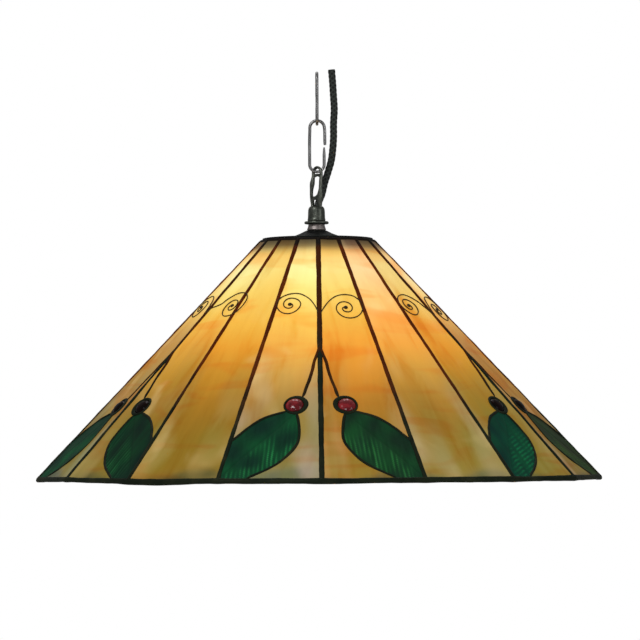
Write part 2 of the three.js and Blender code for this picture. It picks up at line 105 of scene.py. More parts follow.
SCROLL_RIGHT = [
    (20.1, 195.8), (18.6, 198.8), (16.8, 202.2), (13.9, 206.8), (10.6, 211.4), (6.4, 215.8),
    (1.8, 218.9), (-2.6, 220.1), (-7.2, 220.0), (-11.5, 218.8), (-15.0, 216.0), (-17.9, 211.9),
    (-19.0, 207.0), (-18.6, 202.0), (-16.6, 197.3), (-13.2, 193.5), (-9.4, 191.6), (-5.2, 191.0),
    (-1.2, 192.0), (2.2, 194.7), (4.4, 199.0), (4.7, 203.6), (3.2, 207.6), (0.3, 210.4),
    (-3.4, 211.2), (-6.8, 210.0), (-9.0, 207.3), (-9.6, 204.0), (-8.6, 200.7), (-6.2, 198.7),
    (-3.4, 198.7), (-1.2, 200.3), (-0.5, 202.7), (-1.8, 204.3), (-3.4, 204.5)]


def half_width(y):
    """Half the width of a panel at height y up its slope."""
    return RIM_HALF + (TOP_HALF - RIM_HALF) * y / SLANT


class Plane:
    """A sloping plane of the shade: x across, y up the slope, n outwards; side -1 mirrors x."""

    def __init__(self, bearing, rim, top, side=1, seed=0):
        turn = math.radians(bearing)
        sine, cosine = math.sin(turn), math.cos(turn)
        slant = math.hypot(rim - top, SHADE_HEIGHT)
        run, rise = (rim - top) / slant, SHADE_HEIGHT / slant
        self.bearing = (bearing + 180) % 360 - 180
        self.side, self.seed = side, seed
        self.origin = np.array((sine * rim, -cosine * rim, RIM_Z))
        self.across = np.array((cosine, sine, 0.0)) * side
        self.up = np.array((-sine * run, cosine * run, rise))
        self.out = np.array((sine * rise, -cosine * rise, run))

    def at(self, x, y, n=0.0):
        return self.origin + self.across * x + self.up * y + self.out * n

    def facing(self, faces):
        """The faces, turned over where the panel is mirrored."""
        return [face[::-1] for face in faces] if self.side < 0 else faces


def panel(bearing, side, seed):
    return Plane(bearing, RIM_APOTHEM, TOP_APOTHEM, side, seed)


LEAF_PANELS, PLAIN_PANELS = [], []
for i in range(6):
    middle = REPEAT * i
    LEAF_PANELS.append((f"{i + 1}L", panel(middle - FACET // 2, 1, 11 + 7 * i)))
    LEAF_PANELS.append((f"{i + 1}R", panel(middle + FACET // 2, -1, 14 + 7 * i)))
    PLAIN_PANELS.append((f"{i + 1}", panel(middle + REPEAT // 2, 1, 70 + 5 * i)))


# ------------------------------------------------------------------ variation and colour

def srgb(*channels):
    """Linear colour from 0..255 sRGB."""
    shares = [channel / 255.0 for channel in channels]
    return np.array([v / 12.92 if v <= 0.04045 else ((v + 0.055) / 1.055) ** 2.4
                     for v in shares])


def rgba(*channels):
    return (*srgb(*channels), 1.0)


def fade(first, second, share):
    return first * (1 - share) + second * share


class Wobble:
    """Smooth seeded variation along a length, about -1..1."""

    def __init__(self, seed, wavelengths=(47.0, 23.0, 11.0), weights=(0.5, 0.35, 0.25)):
        draw = random.Random(seed)
        self.terms = [(weight, 2 * math.pi / (length * draw.uniform(0.85, 1.15)),
                       draw.uniform(0, 6.283)) for length, weight in zip(wavelengths, weights)]

    def __call__(self, along):
        return sum(weight * math.sin(k * along + phase) for weight, k, phase in self.terms)


class Field:
    """Smooth seeded variation over a surface, about -1..1, drawn out along y by stretch."""

    def __init__(self, seed, length, count, stretch=1.0):
        draw = random.Random(seed)
        self.terms = []
        for _ in range(count):
            angle = draw.uniform(0, math.pi)
            k = 2 * math.pi / (length * draw.uniform(0.6, 1.6))
            self.terms.append((k * math.cos(angle), k * math.sin(angle) / stretch,
                               draw.uniform(0, 6.283), draw.uniform(0.5, 1.0)))
        self.norm = 1.0 / math.sqrt(sum(term[3] ** 2 for term in self.terms))

    def __call__(self, x, y):
        return self.norm * sum(weight * np.sin(kx * x + ky * y + phase)
                               for kx, ky, phase, weight in self.terms)


# ------------------------------------------------------------------ mesh building

VALUE_FIELD = {"FLOAT_VECTOR": "vector", "FLOAT_COLOR": "color", "FLOAT": "value"}


class Shell:
    """Gathers vertices and faces in millimetres, then makes one object of them."""

    def __init__(self):
        self.verts, self.faces = [], []

    def add(self, verts, faces):
        base = len(self.verts)
        self.verts.extend(tuple(float(c) for c in vert) for vert in verts)
        self.faces.extend(tuple(i + base for i in face) for face in faces)

    def make(self, name, material, slot, replaces=(), angle=45, body="lamp",
             attributes=None, rides=True):
        """Edges sharper than angle degrees stay sharp; attributes are {name: (kind, values)}."""
        mesh = bpy.data.meshes.new(name)
        mesh.from_pydata([(x * MM, y * MM, z * MM) for x, y, z in self.verts], [], self.faces)
        mesh.polygons.foreach_set("use_smooth", [True] * len(mesh.polygons))
        mesh.update()
        if angle is not None:
            mesh.set_sharp_from_angle(angle=math.radians(angle))
        mesh.materials.append(material)
        for key, (kind, values) in (attributes or {}).items():
            data = mesh.attributes.new(key, kind, "POINT").data
            data.foreach_set(VALUE_FIELD[kind], np.asarray(values, np.float32).ravel())
        obj = bpy.data.objects.new(name, mesh)
        bpy.context.scene.collection.objects.link(obj)
        if replaces:
            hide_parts(*replaces)
        if rides:
            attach(obj, body)
        return obj


def ring_faces(rings, around, closed=False, capped=True):
    """Quads between successive rings of vertices; open rows of rings can be capped."""
    faces = []
    for i in range(rings if closed else rings - 1):
        low, high = i * around, (i + 1) % rings * around
        for j in range(around):
            k = (j + 1) % around
            faces.append((low + j, low + k, high + k, high + j))
    if capped and not closed:
        faces.append(tuple(reversed(range(around))))
        faces.append(tuple(range((rings - 1) * around, rings * around)))
    return faces


def solder_section(half, rise, depth, around=14, power=2.6):
    """Rounded-square section from -depth to rise, as (sideways, height)."""
    points = []
    middle, tall = (rise - depth) / 2, (depth + rise) / 2
    for i in range(around):
        angle = 2 * math.pi * (i + 0.5) / around
        c, s = math.cos(angle), math.sin(angle)
        points.append((half * math.copysign(abs(c) ** (2 / power), c),
                       middle + tall * math.copysign(abs(s) ** (2 / power), s)))
    return points


def resample(path, step):
    """Even steps along a Catmull-Rom curve: the points and their distances along it."""
    knots = [np.array(point, float) for point in path]
    knots = [2 * knots[0] - knots[1]] + knots + [2 * knots[-1] - knots[-2]]
    dense = []
    for i in range(1, len(knots) - 2):
        a, b, c, d = knots[i - 1:i + 3]
        count = max(2, int(np.linalg.norm(c - b) / (step * 0.2)))
        for j in range(count):
            t = j / count
            dense.append(0.5 * ((2 * b) + (c - a) * t + (2 * a - 5 * b + 4 * c - d) * t * t
                                + (3 * b - a - 3 * c + d) * t ** 3))
    dense.append(knots[-2])
    dense = np.array(dense)
    gaps = np.linalg.norm(np.diff(dense, axis=0), axis=1)
    distance = np.concatenate([[0], np.cumsum(gaps)])
    count = max(2, int(round(distance[-1] / step)) + 1)
    even = np.linspace(0, distance[-1], count)
    columns = [np.interp(even, distance, dense[:, k]) for k in range(dense.shape[1])]
    return np.stack(columns, axis=1), even


def bead(shell, place, path, half, depth, seed, step, tapered=True):
    """A soldered line along path; place(x, y, n) gives the point in space."""
    points, along = resample(path, step)
    width_wobble, rise_wobble = Wobble(seed), Wobble(seed + 1)
    drift = Wobble(seed + 2, (31.0, 14.0, 6.5))
    count = len(points)
    verts = []
    for i in range(count):
        tangent = points[min(i + 1, count - 1)] - points[max(i - 1, 0)]
        tangent /= np.linalg.norm(tangent)
        side = np.array((tangent[1], -tangent[0]))
        from_end = min(i, count - 1 - i)
        taper = (0.45, 0.85)[from_end] if tapered and from_end < 2 else 1.0
        low = taper * 0.3 + 0.7
        width = half * (1 + BEAD_WOBBLE * width_wobble(along[i])) * taper
        rise = BEAD_RISE * (1 + BEAD_WOBBLE * 1.2 * rise_wobble(along[i])) * low
        shift = 0.1 * drift(along[i])
        for sideways, height in solder_section(width, rise, depth * low):
            x, y = points[i] + side * (sideways + shift)
            verts.append(place(x, y, height))
    shell.add(verts, ring_faces(count, 14))


def lathe(shell, profile, around=64, shift=0.0):
    """Closed profile of (radius, z) turned about Z, then moved by shift along X."""
    verts, rings = [], []
    for radius, z in profile:
        if radius < 1e-6:               # a point on the axis is one vertex
            rings.append([len(verts)] * around)
            verts.append((shift, 0, z))
        else:
            rings.append(list(range(len(verts), len(verts) + around)))
            for j in range(around):
                angle = 2 * math.pi * j / around
                verts.append((radius * math.sin(angle) + shift, -radius * math.cos(angle), z))
    faces = []
    for low, high in zip(rings, rings[1:] + rings[:1]):
        if low[0] == low[1] and high[0] == high[1]:
            continue
        for j in range(around):
            k = (j + 1) % around
            face = tuple(dict.fromkeys((low[j], low[k], high[k], high[j])))
            if len(face) > 2:
                faces.append(face)
    shell.add(verts, faces)


def rounded(profile, radius, steps):
    """Rounds the corners of a closed profile, except those at or below 0 in its first column."""
    points = []
    for i in range(len(profile)):
        corner = np.array(profile[i], float)
        if corner[0] < 1e-6:
            points.append(tuple(corner))
            continue
        before = np.array(profile[i - 1], float) - corner
        after = np.array(profile[(i + 1) % len(profile)], float) - corner
        len_before, len_after = np.linalg.norm(before), np.linalg.norm(after)
        cut = min(radius, len_before * 0.45, len_after * 0.45)
        start, end = corner + before / len_before * cut, corner + after / len_after * cut
        for j in range(steps + 1):
            t = j / steps
            points.append(tuple((1 - t) ** 2 * start + 2 * t * (1 - t) * corner + t * t * end))
    return points


def sweep(shell, points, radius, around, side, scale):
    """Round bar along points; side starts its frame, scale(i, distance, angle) its radius."""
    points = np.array(points, float)
    count = len(points)
    side = np.array(side)
    distance, verts = 0.0, []
    for i in range(count):
        tangent = points[min(i + 1, count - 1)] - points[max(i - 1, 0)]
        tangent = tangent / np.linalg.norm(tangent)
        if i:
            distance += np.linalg.norm(points[i] - points[i - 1])
        side = side - (side @ tangent) * tangent
        side /= np.linalg.norm(side)
        other = np.cross(tangent, side)
        for j in range(around):
            angle = 2 * math.pi * j / around
            reach = radius * scale(i, distance, angle)
            verts.append(points[i] + reach * (math.cos(angle) * side + math.sin(angle) * other))
    shell.add(verts, ring_faces(count, around))


# ------------------------------------------------------------------ materials

class Look:
    """A material with one Principled shader, and short calls for the nodes that feed it."""

    def __init__(self, name):
        self.material = bpy.data.materials.new(name)
        self.material.use_nodes = True
        self.tree = self.material.node_tree
        self.tree.nodes.clear()
        output = self.node("OutputMaterial")
        self.shader = self.node("BsdfPrincipled")
        self.put(self.shader.outputs["BSDF"], output.inputs["Surface"])

    def node(self, kind, **settings):
        made = self.tree.nodes.new("ShaderNode" + kind)
        for key, value in settings.items():
            setattr(made, key, value)
        return made

    def put(self, value, socket):
        """Links a socket, or stores a plain value."""
        if isinstance(value, bpy.types.NodeSocket):
            self.tree.links.new(value, socket)
        else:
            socket.default_value = value

    def shade(self, inputs):
        for name, value in inputs.items():
            self.put(value, self.shader.inputs[name])
        return self.material

    def math(self, operation, *values):
        made = self.node("Math", operation=operation)
        for value, socket in zip(values, made.inputs):
            self.put(value, socket)
        return made.outputs[0]

    def linear(self, value, times, plus):
        return self.math("MULTIPLY_ADD", value, times, plus)

    def vector(self, operation, *values):
        """VectorMath with the values put in its first inputs."""
        made = self.node("VectorMath", operation=operation)
        for value, socket in zip(values, made.inputs):
            self.put(value, socket)
        return made.outputs

    def stretch(self, vector, factors):
        return self.vector("MULTIPLY", vector, factors)[0]

    def lit(self, colour, light):
        """The colour times a brightness."""
        made = self.node("VectorMath", operation="SCALE")
        self.put(colour, made.inputs[0])
        self.put(light, made.inputs[3])
        return made.outputs[0]

    def mix(self, factor, first, second, blend="MIX"):
        made = self.node("Mix", data_type="RGBA", blend_type=blend, clamp_factor=True)
        for value, slot in ((factor, 0), (first, 6), (second, 7)):
            self.put(value, made.inputs[slot])
        return made.outputs[2]

    def ramp(self, factor, stops):
        """Stops are (position, sRGB colour)."""
        made = self.node("ValToRGB")
        elements = made.color_ramp.elements
        while len(elements) < len(stops):
            elements.new(0.5)
        for element, (position, colour) in zip(elements, stops):
            element.position = position
            element.color = rgba(*colour)
        self.put(factor, made.inputs[0])
        return made.outputs[0]

    def noise(self, vector, scale=1.0, detail=3.0, rough=0.55, distortion=0.0):
        made = self.node("TexNoise")
        self.put(vector, made.inputs["Vector"])
        made.inputs["Scale"].default_value = scale
        made.inputs["Detail"].default_value = detail
        made.inputs["Roughness"].default_value = rough
        made.inputs["Distortion"].default_value = distortion
        return made.outputs[0]

    def remap(self, value, between=(0.3, 0.7), to=(0.0, 1.0)):
        """Smooth step; by default over the range where noise mostly lies."""
        made = self.node("MapRange", interpolation_type="SMOOTHSTEP")
        for number, socket in zip((value, *between, *to), made.inputs):
            self.put(number, socket)
        return made.outputs[0]

    def bump(self, height, strength, distance):
        made = self.node("Bump")
        made.inputs["Strength"].default_value = strength
        made.inputs["Distance"].default_value = distance
        self.put(height, made.inputs["Height"])
        return made.outputs["Normal"]

    def coords(self):
        return self.node("TexCoord").outputs["Object"]

    def part(self, vector, axis):
        made = self.node("SeparateXYZ")
        self.put(vector, made.inputs[0])
        return made.outputs["XYZ".index(axis)]

    def attribute(self, name, output):
        return self.node("Attribute", attribute_name=name).outputs[output]


def amber_material():
    """Streaked glass with a painted glow of the bulb's light, stronger towards the top; tint and
    pc come from the mesh.
    """
    look = Look("amber_opalescent_glass")
    tint = look.attribute("tint", "Color")
    place = look.attribute("pc", "Vector")
    streak = look.noise(look.stretch(place, (0.055, 0.011, 1.0)), rough=0.5, distortion=0.6)
    fine = look.noise(look.stretch(place, (0.22, 0.03, 1.3)),
                      detail=4.0, rough=0.6, distortion=0.4)
    cloud = look.noise(look.stretch(place, (0.024, 0.017, 2.1)),
                       detail=2.0, rough=0.5, distortion=0.5)
    deeper = look.node("HueSaturation")
    for name, value in (("Hue", 0.478), ("Saturation", 1.12), ("Value", 0.90), ("Color", tint)):
        look.put(value, deeper.inputs[name])
    colour = look.mix(look.remap(streak, between=(0.50, 0.74), to=(0.0, 0.60)),
                      tint, deeper.outputs[0])
    pale = look.mix(0.5, tint, rgba(252, 226, 160))
    colour = look.mix(look.remap(cloud, between=(0.56, 0.74), to=(0.0, 0.42)), colour, pale)
    light = look.linear(fine, times=0.13, plus=0.935)
    light = look.math("MULTIPLY", light, look.linear(streak, times=-0.16, plus=1.08))
    bands = look.noise(look.stretch(place, (0.010, 0.036, 0.7)),
                       detail=2.0, rough=0.5, distortion=0.8)
    banded = look.mix(1.0, colour, rgba(255, 214, 176), "MULTIPLY")
    colour = look.mix(look.remap(bands, between=(0.50, 0.66), to=(0.0, 0.55)), colour, banded)
    colour = look.lit(colour, light)
    return look.shade({
        "Base Color": colour,
        "Emission Color": colour,
        "Emission Strength": look.remap(look.part(place, "Y"), between=(60.0, 240.0),
                                        to=(0.42, 0.85)),
        "Roughness": look.remap(fine, to=(0.34, 0.46)),
        "IOR": 1.45,
        "Specular IOR Level": 0.14,
        "Normal": look.bump(fine, strength=0.05, distance=0.0006)})


def leaf_material():
    look = Look("green_ribbed_glass")
    tint = look.attribute("tint", "Color")
    place = look.attribute("pc", "Vector")
    streak = look.noise(look.stretch(place, (0.20, 0.035, 1.0)),
                        detail=4.0, rough=0.6, distortion=0.3)
    cloud = look.noise(look.stretch(place, (0.04, 0.04, 1.7)), rough=0.5, distortion=0.4)
    dark = look.mix(0.6, tint, rgba(8, 34, 30))
    colour = look.mix(look.remap(cloud, between=(0.42, 0.68), to=(0.0, 0.42)), tint, dark)
    colour = look.lit(colour, look.linear(streak, times=0.9, plus=0.55))
    return look.shade({
        "Base Color": colour,
        "Emission Color": colour,
        # painted glow of the bulb's light through the green glass
        "Emission Strength": 0.45,
        "Roughness": look.remap(streak, to=(0.40, 0.52)),
        "Specular IOR Level": 0.06,
        "Normal": look.bump(streak, strength=0.2, distance=0.0006)})


def jewel_material():
    """Red glass with a painted highlight, paler where it faces up, and painted shade, dark where
    its panel (pn) turns from the viewer; a faint painted glow.
    """
    look = Look("red_jewel_glass")
    mottle = look.noise(look.coords(), scale=150.0, rough=0.5, distortion=0.5)
    surface = look.node("NewGeometry").outputs
    upward = look.part(surface["Normal"], "Z")
    colour = look.ramp(mottle, [(0.3, (74, 6, 14)), (0.5, (124, 16, 26)), (0.72, (176, 42, 50))])
    # painted highlight: pale pink on the facets that face up
    colour = look.mix(look.remap(upward, between=(0.62, 0.98), to=(0.0, 0.38)),
                      colour, rgba(216, 108, 110))
    turn = look.node("VectorTransform", vector_type="NORMAL",
                     convert_from="OBJECT", convert_to="WORLD")
    look.put(look.attribute("pn", "Vector"), turn.inputs[0])
    dot = look.vector("DOT_PRODUCT", turn.outputs[0], surface["Incoming"])["Value"]
    seen = look.math("ABSOLUTE", dot, 0.0)
    # painted shade: near black where the panel turns away from the viewer
    colour = look.mix(look.remap(seen, between=(0.52, 0.66), to=(0.97, 0.0)),
                      colour, rgba(5, 13, 11))
    return look.shade({
        "Base Color": colour,
        "Emission Color": colour,
        "Emission Strength": 0.10,
        "Roughness": look.remap(mottle, to=(0.08, 0.16)),
        "Specular IOR Level": look.remap(seen, between=(0.50, 0.68), to=(0.07, 0.5)),
        "Coat Weight": look.remap(seen, between=(0.50, 0.68), to=(0.01, 0.16)),
        "Coat Roughness": 0.06,
        "Normal": look.bump(mottle, strength=0.08, distance=0.0004)})


def solder_material(name, turns, warm=((70, 28, 0), (94, 42, 0), (124, 64, 6))):
    """Dark green patina low down, reddish brown above the heights in turns (metres)."""
    look = Look(name)
    coords = look.coords()
    z = look.part(coords, "Z")
    big = look.noise(coords, scale=38.0, distortion=0.3)
    fine = look.noise(coords, scale=420.0, detail=4.0, rough=0.6)
    low = look.ramp(big, [(0.30, (20, 32, 22)), (0.55, (38, 46, 30)), (0.78, (60, 62, 40))])
    high = look.ramp(big, list(zip((0.30, 0.55, 0.80), warm)))
    ragged_z = look.linear(big, times=0.06, plus=z)
    between = [height + 0.03 for height in turns]     # the noise adds about half of 0.06
    colour = look.mix(look.remap(ragged_z, between, to=(0.0, 0.92)), low, high)
    # painted shade below the cap: the solder turns near black over its top few millimetres
    colour = look.mix(look.remap(z, between=(0.207, 0.213), to=(0.0, 0.9)),
                      colour, rgba(16, 22, 20))
    return look.shade({
        "Base Color": colour,
        "Metallic": 0.15,
        "Roughness": look.remap(fine, to=(0.42, 0.62)),
        "Specular IOR Level": 0.1,
        "Normal": look.bump(look.linear(big, times=0.7, plus=fine),
                            strength=0.22, distance=0.0006)})


def metal_material(name, dark, middle, light, rough, scale, metallic=1.0):
    """Mottled metal between three sRGB colours, lighter on worn edges."""
    look = Look(name)
    coords = look.stretch(look.coords(), (1, 1, 1))
    big = look.noise(coords, scale=scale * 0.35, distortion=0.2)
    fine = look.noise(coords, scale=scale * 6.0, detail=4.0, rough=0.65)
    pointed = look.node("NewGeometry").outputs["Pointiness"]
    worn = look.remap(pointed, between=(0.50, 0.60), to=(0.0, 0.6))
    colour = look.ramp(big, [(0.28, dark), (0.52, middle), (0.78, light)])
    return look.shade({
        "Base Color": look.mix(worn, colour, rgba(*light)),
        "Metallic": metallic,
        "Roughness": look.remap(fine, to=rough),
        "Normal": look.bump(fine, strength=0.15, distance=0.0003)})


def flex_material():
    look = Look("braided_black_flex")
    braiding = look.attribute("braid", "Fac")
    fuzz = look.noise(look.coords(), scale=900.0, rough=0.6)
    height = look.linear(fuzz, times=0.35, plus=look.math("SUBTRACT", braiding, 0.17))
    # painted highlight on the crests of the strands and painted shade between them
    colour = look.ramp(height, [(0.15, (3, 5, 4)), (0.55, (12, 17, 15)), (0.95, (60, 70, 64))])
    return look.shade({
        "Base Color": colour,
        "Roughness": 0.62,
        "Sheen Weight": 0.10,
        "Normal": look.bump(fuzz, strength=0.35, distance=0.0003)})


def ceramic_material():
    look = Look("glazed_ceramic")
    coords = look.coords()
    cloud = look.noise(coords, scale=120.0, rough=0.5)
    specks = look.noise(coords, scale=1400.0, detail=2.0, rough=0.5)
    colour = look.ramp(cloud, [(0.3, (216, 209, 192)), (0.7, (238, 234, 222))])
    colour = look.mix(look.remap(specks, between=(0.66, 0.74), to=(0.0, 0.5)),
                      colour, rgba(150, 138, 118))
    return look.shade({
        "Base Color": colour,
        "Roughness": 0.28,
        "Coat Weight": 0.4,
        "Normal": look.bump(cloud, strength=0.1, distance=0.0004)})


def bulb_material():
    look = Look("lit_opal_bulb")
    coords = look.coords()
    z = look.part(coords, "Z")
    cloud = look.noise(coords, scale=60.0, detail=2.0, rough=0.5)
    warm = look.ramp(look.remap(z, between=(0.064, 0.15)),
                     [(0.0, (255, 240, 206)), (0.55, (255, 226, 170)), (1.0, (226, 176, 112))])
    colour = look.mix(look.math("MULTIPLY", cloud, 0.22), warm, rgba(255, 214, 150))
    return look.shade({
        "Base Color": colour,
        "Emission Color": colour,
        "Emission Strength": look.remap(z, between=(0.062, 0.152), to=(1.5, 0.7)),
        "Roughness": 0.35,
        "Normal": look.bump(cloud, strength=0.05, distance=0.0004)})


AMBER = amber_material()
LEAF = leaf_material()
RED = jewel_material()
SOLDER = solder_material("patinated_solder", turns=(0.045, 0.120),
                         warm=((92, 32, 0), (124, 50, 0), (156, 78, 6)))
SOLDER_DARK = solder_material("dark_patinated_solder", turns=(0.105, 0.150))
SOLDER_STEM = solder_material("stem_solder", turns=(0.055, 0.120))
BLACKENED = metal_material("blackened_brass_cap", (10, 14, 13), (20, 26, 24), (44, 50, 46),
                           rough=(0.42, 0.60), scale=160.0, metallic=0.55)
BRONZE = metal_material("dark_bronze", (64, 69, 64), (104, 109, 101), (178, 180, 168),
                        rough=(0.30, 0.42), scale=260.0)
NICKEL = metal_material("worn_nickel", (120, 112, 110), (176, 166, 163), (222, 212, 208),
                        rough=(0.40, 0.54), scale=260.0)
STEEL = metal_material("chain_steel", (112, 112, 112), (152, 152, 152), (206, 206, 206),
                       rough=(0.28, 0.42), scale=300.0)
BRASS = metal_material("drawn_brass", (120, 88, 40), (176, 138, 70), (214, 182, 112),
                       rough=(0.24, 0.38), scale=200.0)
SCROLL = metal_material("blackened_wire", (26, 20, 10), (48, 38, 20), (86, 70, 40),
                        rough=(0.40, 0.55), scale=160.0, metallic=0.5)
FLEX = flex_material()
CERAMIC = ceramic_material()
BULB = bulb_material()


# ------------------------------------------------------------------ sheets of glass

def inside(loop, x, y):
    crossed = False
    for (x1, y1), (x2, y2) in zip(loop, loop[1:] + loop[:1]):
        if (y1 > y) != (y2 > y) and x < (x2 - x1) * (y - y1) / (y2 - y1) + x1:
            crossed = not crossed
    return crossed


def edge_distance(loop, points):
    points = np.array(points)
    best = np.full(len(points), 1e9)
    for start, end in zip(loop, loop[1:] + loop[:1]):
        start = np.array(start)
        edge = np.array(end) - start
        square = edge @ edge
        if square < 1e-9:
            continue
        t = np.clip(((points - start) @ edge) / square, 0, 1)
        best = np.minimum(best, np.linalg.norm(points - (start + t[:, None] * edge), axis=1))
    return best


def dense_loop(loop, step):
    points = []
    for start, end in zip(loop, loop[1:] + loop[:1]):
        start, end = np.array(start, float), np.array(end, float)
        count = max(1, int(round(np.linalg.norm(end - start) / step)))
        points += [tuple(start + (end - start) * j / count) for j in range(count)]
    return points


def signed_area(points):
    """Twice the area, positive when the points run counter-clockwise."""
    return sum(a[0] * b[1] - b[0] * a[1] for a, b in zip(points, points[1:] + points[:1]))


def cut_sheet(loop, step):
    """Triangles filling loop: points, counter-clockwise triangles and the border edges."""
    loop = dense_loop(loop, step)
    if signed_area(loop) < 0:
        loop.reverse()
    right, top = (max(point[k] for point in loop) for k in (0, 1))
    left, bottom = (min(point[k] for point in loop) for k in (0, 1))
    grid = []
    row, y = 0, bottom + step * 0.5
    while y < top:
        x = left + (0.5 if row % 2 else 0.0) * step
        while x < right:
            grid.append((x, y))
            x += step
        y += step * 0.87
        row += 1
    grid = [point for point in grid if inside(loop, *point)]
    gaps = edge_distance(loop, grid)
    grid = [point for point, gap in zip(grid, gaps) if gap > step * 0.55]
    points = [Vector(point) for point in loop + grid]
    filled = geometry.delaunay_2d_cdt(points, [], [list(range(len(loop)))], 1, 1e-4)
    flat, triangles = [tuple(point) for point in filled[0]], [tuple(face) for face in filled[2]]
    triangles = [face if signed_area([flat[i] for i in face]) > 0 else face[::-1]
                 for face in triangles]
    edges = {(face[i], face[(i + 1) % 3]) for face in triangles for i in range(3)}
    border = sorted((a, b) for a, b in edges if (b, a) not in edges)
    return flat, triangles, border


def wavy(panel, base, depth):
    """A wavy face of the glass about the height base."""
    field = Field(panel.seed * 3 + int(base * 10), length=26.0, count=7, stretch=1.6)
    return lambda x, y: base + depth * field(x, y)


def pane(name, panel, sheet, material, slot, replaces, tint_at, top_at, under_at):
    """A cut sheet of glass between two wavy faces."""
    flat, triangles, border = sheet
    x, y = np.array([point[0] for point in flat]), np.array([point[1] for point in flat])
    top, under = top_at(x, y), under_at(x, y)
    count = len(flat)
    verts = [panel.at(x[i], y[i], face[i]) for face in (top, under) for i in range(count)]
    faces = (list(triangles) + [tuple(i + count for i in face[::-1]) for face in triangles]
             + [(b, a, a + count, b + count) for a, b in border])
    shell = Shell()
    shell.add(verts, panel.facing(faces))
    tint = np.concatenate([tint_at(x, y), np.ones((count, 1))], axis=1)
    place = np.stack([x, y, np.full(count, float(panel.seed))], axis=1)
    shell.make(name, material, slot, [replaces], 30, attributes={
        "tint": ("FLOAT_COLOR", np.concatenate([tint, tint])),
        "pc": ("FLOAT_VECTOR", np.concatenate([place, place]))})


# ------------------------------------------------------------------ amber glass

# (share of the slope, sRGB colour), from the rim up. Besides the glass's colour they hold
# painted light: brightest high up near the bulb, dimmer towards the rim, and painted shade at
# the very top below the cap
AMBER_AND_GLOW_STOPS = [
    (0.0, (96, 92, 66)), (0.012, (112, 104, 70)), (0.03, (146, 122, 62)), (0.05, (148, 122, 52)),
    (0.14, (150, 121, 50)), (0.24, (160, 121, 48)), (0.34, (176, 127, 50)),
    (0.44, (203, 146, 58)), (0.55, (236, 164, 58)), (0.65, (246, 186, 70)),
    (0.755, (246, 208, 100)), (0.86, (247, 222, 126)), (0.925, (246, 204, 108)),
    (0.944, (222, 184, 94)), (0.957, (180, 148, 78)), (0.971, (118, 97, 54)),
    (1.0, (66, 57, 36))]

# How each panel leans from the common colour, by bearing: near the rim, near the top
TONES = {
    -70: ((0.88, 1.06, 1.30), (0.89, 1.02, 1.68)),
    -50: ((0.91, 0.95, 0.61), (0.84, 0.98, 1.36)),
    -30: ((0.99, 0.94, 0.51), (0.80, 0.82, 0.87)),
    -10: ((1.04, 1.18, 1.60), (0.86, 0.98, 1.32)),
    10: ((1.23, 1.02, 0.70), (0.85, 0.87, 0.97)),
    30: ((1.08, 1.15, 1.10), (0.86, 0.76, 1.23)),
    50: ((0.92, 1.01, 0.66), (0.75, 0.71, 0.86)),
    70: ((0.84, 0.82, 0.74), (0.86, 0.88, 1.50))}
TONE_RANGES = (0.90, 1.10), (0.88, 1.10), (0.75, 1.30)    # red, green, blue of other panels


def tone_of(panel):
    if panel.bearing in TONES:
        return TONES[panel.bearing]
    draw = random.Random(panel.seed)
    return [[draw.uniform(*limits) for limits in TONE_RANGES] for _ in range(2)]


def amber_tint(panel, part):
    draw = random.Random(panel.seed * 13 + part)
    low_tone, high_tone = (np.array(tone) for tone in tone_of(panel))
    warm, dim, green = draw.uniform(-0.5, 1.0), draw.uniform(-0.04, 0.04), draw.uniform(0, 1)
    broad = Field(panel.seed + part, length=70.0, count=6, stretch=3.0)
    patch = Field(panel.seed + 31 + part, length=34.0, count=6, stretch=2.2)
    shift = Field(panel.seed + 57, length=90.0, count=5, stretch=1.6)

    def tint_at(x, y):
        share = y / SLANT
        t = np.where(share > 0.90, share, np.clip(share + 0.022 * shift(x, y), 0, 1))
        positions = [stop[0] for stop in AMBER_AND_GLOW_STOPS]
        colours = np.array([srgb(*stop[1]) for stop in AMBER_AND_GLOW_STOPS])
        colour = np.stack([np.interp(t, positions, colours[:, k]) for k in range(3)], axis=-1)
        orange = np.clip(0.25 * warm + 0.5 * broad(x, y), 0, 1)[:, None]
        colour = colour * (1 - orange * np.array((0.0, 0.14, 0.30)))
        # beige beside the seams and olive patches, both fading out up the slope
        lower = np.clip(1.25 - t * 2.4, 0, 1)
        edge = np.clip(np.abs(x) / half_width(y) * 1.5 - 0.55 + 0.5 * patch(x, y), 0, 1) * lower
        colour = fade(colour, srgb(184, 158, 116) * 0.95, (0.72 * edge)[:, None])
        olive = np.clip(0.5 * green + 0.5 * patch(x + 40, y), 0, 1) * lower * 0.5
        colour = fade(colour, srgb(136, 128, 62), olive[:, None])
        # the two panels at 70 degrees have a darker band high up
        band = np.exp(-((y - 166.0) / 34.0) ** 2)[:, None] * (abs(panel.bearing) == 70)
        colour = colour * (1.0 - band * np.array((0.34, 0.30, 0.06)))
        high = np.clip((y - 110.0) / 90.0, 0, 1)
        high = (high * high * (3 - 2 * high))[:, None]
        return np.clip(colour * (1.0 + dim) * fade(low_tone, high_tone, high), 0, 1)
    return tint_at


def amber_pane(name, panel, sheet, part, replaces):
    pane(name, panel, sheet, AMBER, "amber_glass", replaces, amber_tint(panel, part),
         wavy(panel, GLASS_FACE, 0.16), wavy(panel, -GLASS_FACE, 0.2))


# ------------------------------------------------------------------ leaf glass

LEAF_RIB_PITCH, SIDE_RIB_PITCH = 3.7, 5.2
# The leaf's midrib: x and the height y there
MIDRIB_X = [-42, -34, -26, -17, -8, 1, 8, 12, 20]
MIDRIB_Y = [3, 15, 26, 38, 49, 60, 70, 75, 84]
# Red, green and blue factors of a leaf, by bearing
LEAF_TONES = {10: (2.3, 0.92, 0.66), 70: (4.8, 0.68, 0.38), 50: (0.6, 0.98, 0.98),
              -50: (1.25, 0.60, 0.50), -70: (1.5, 0.76, 0.70)}


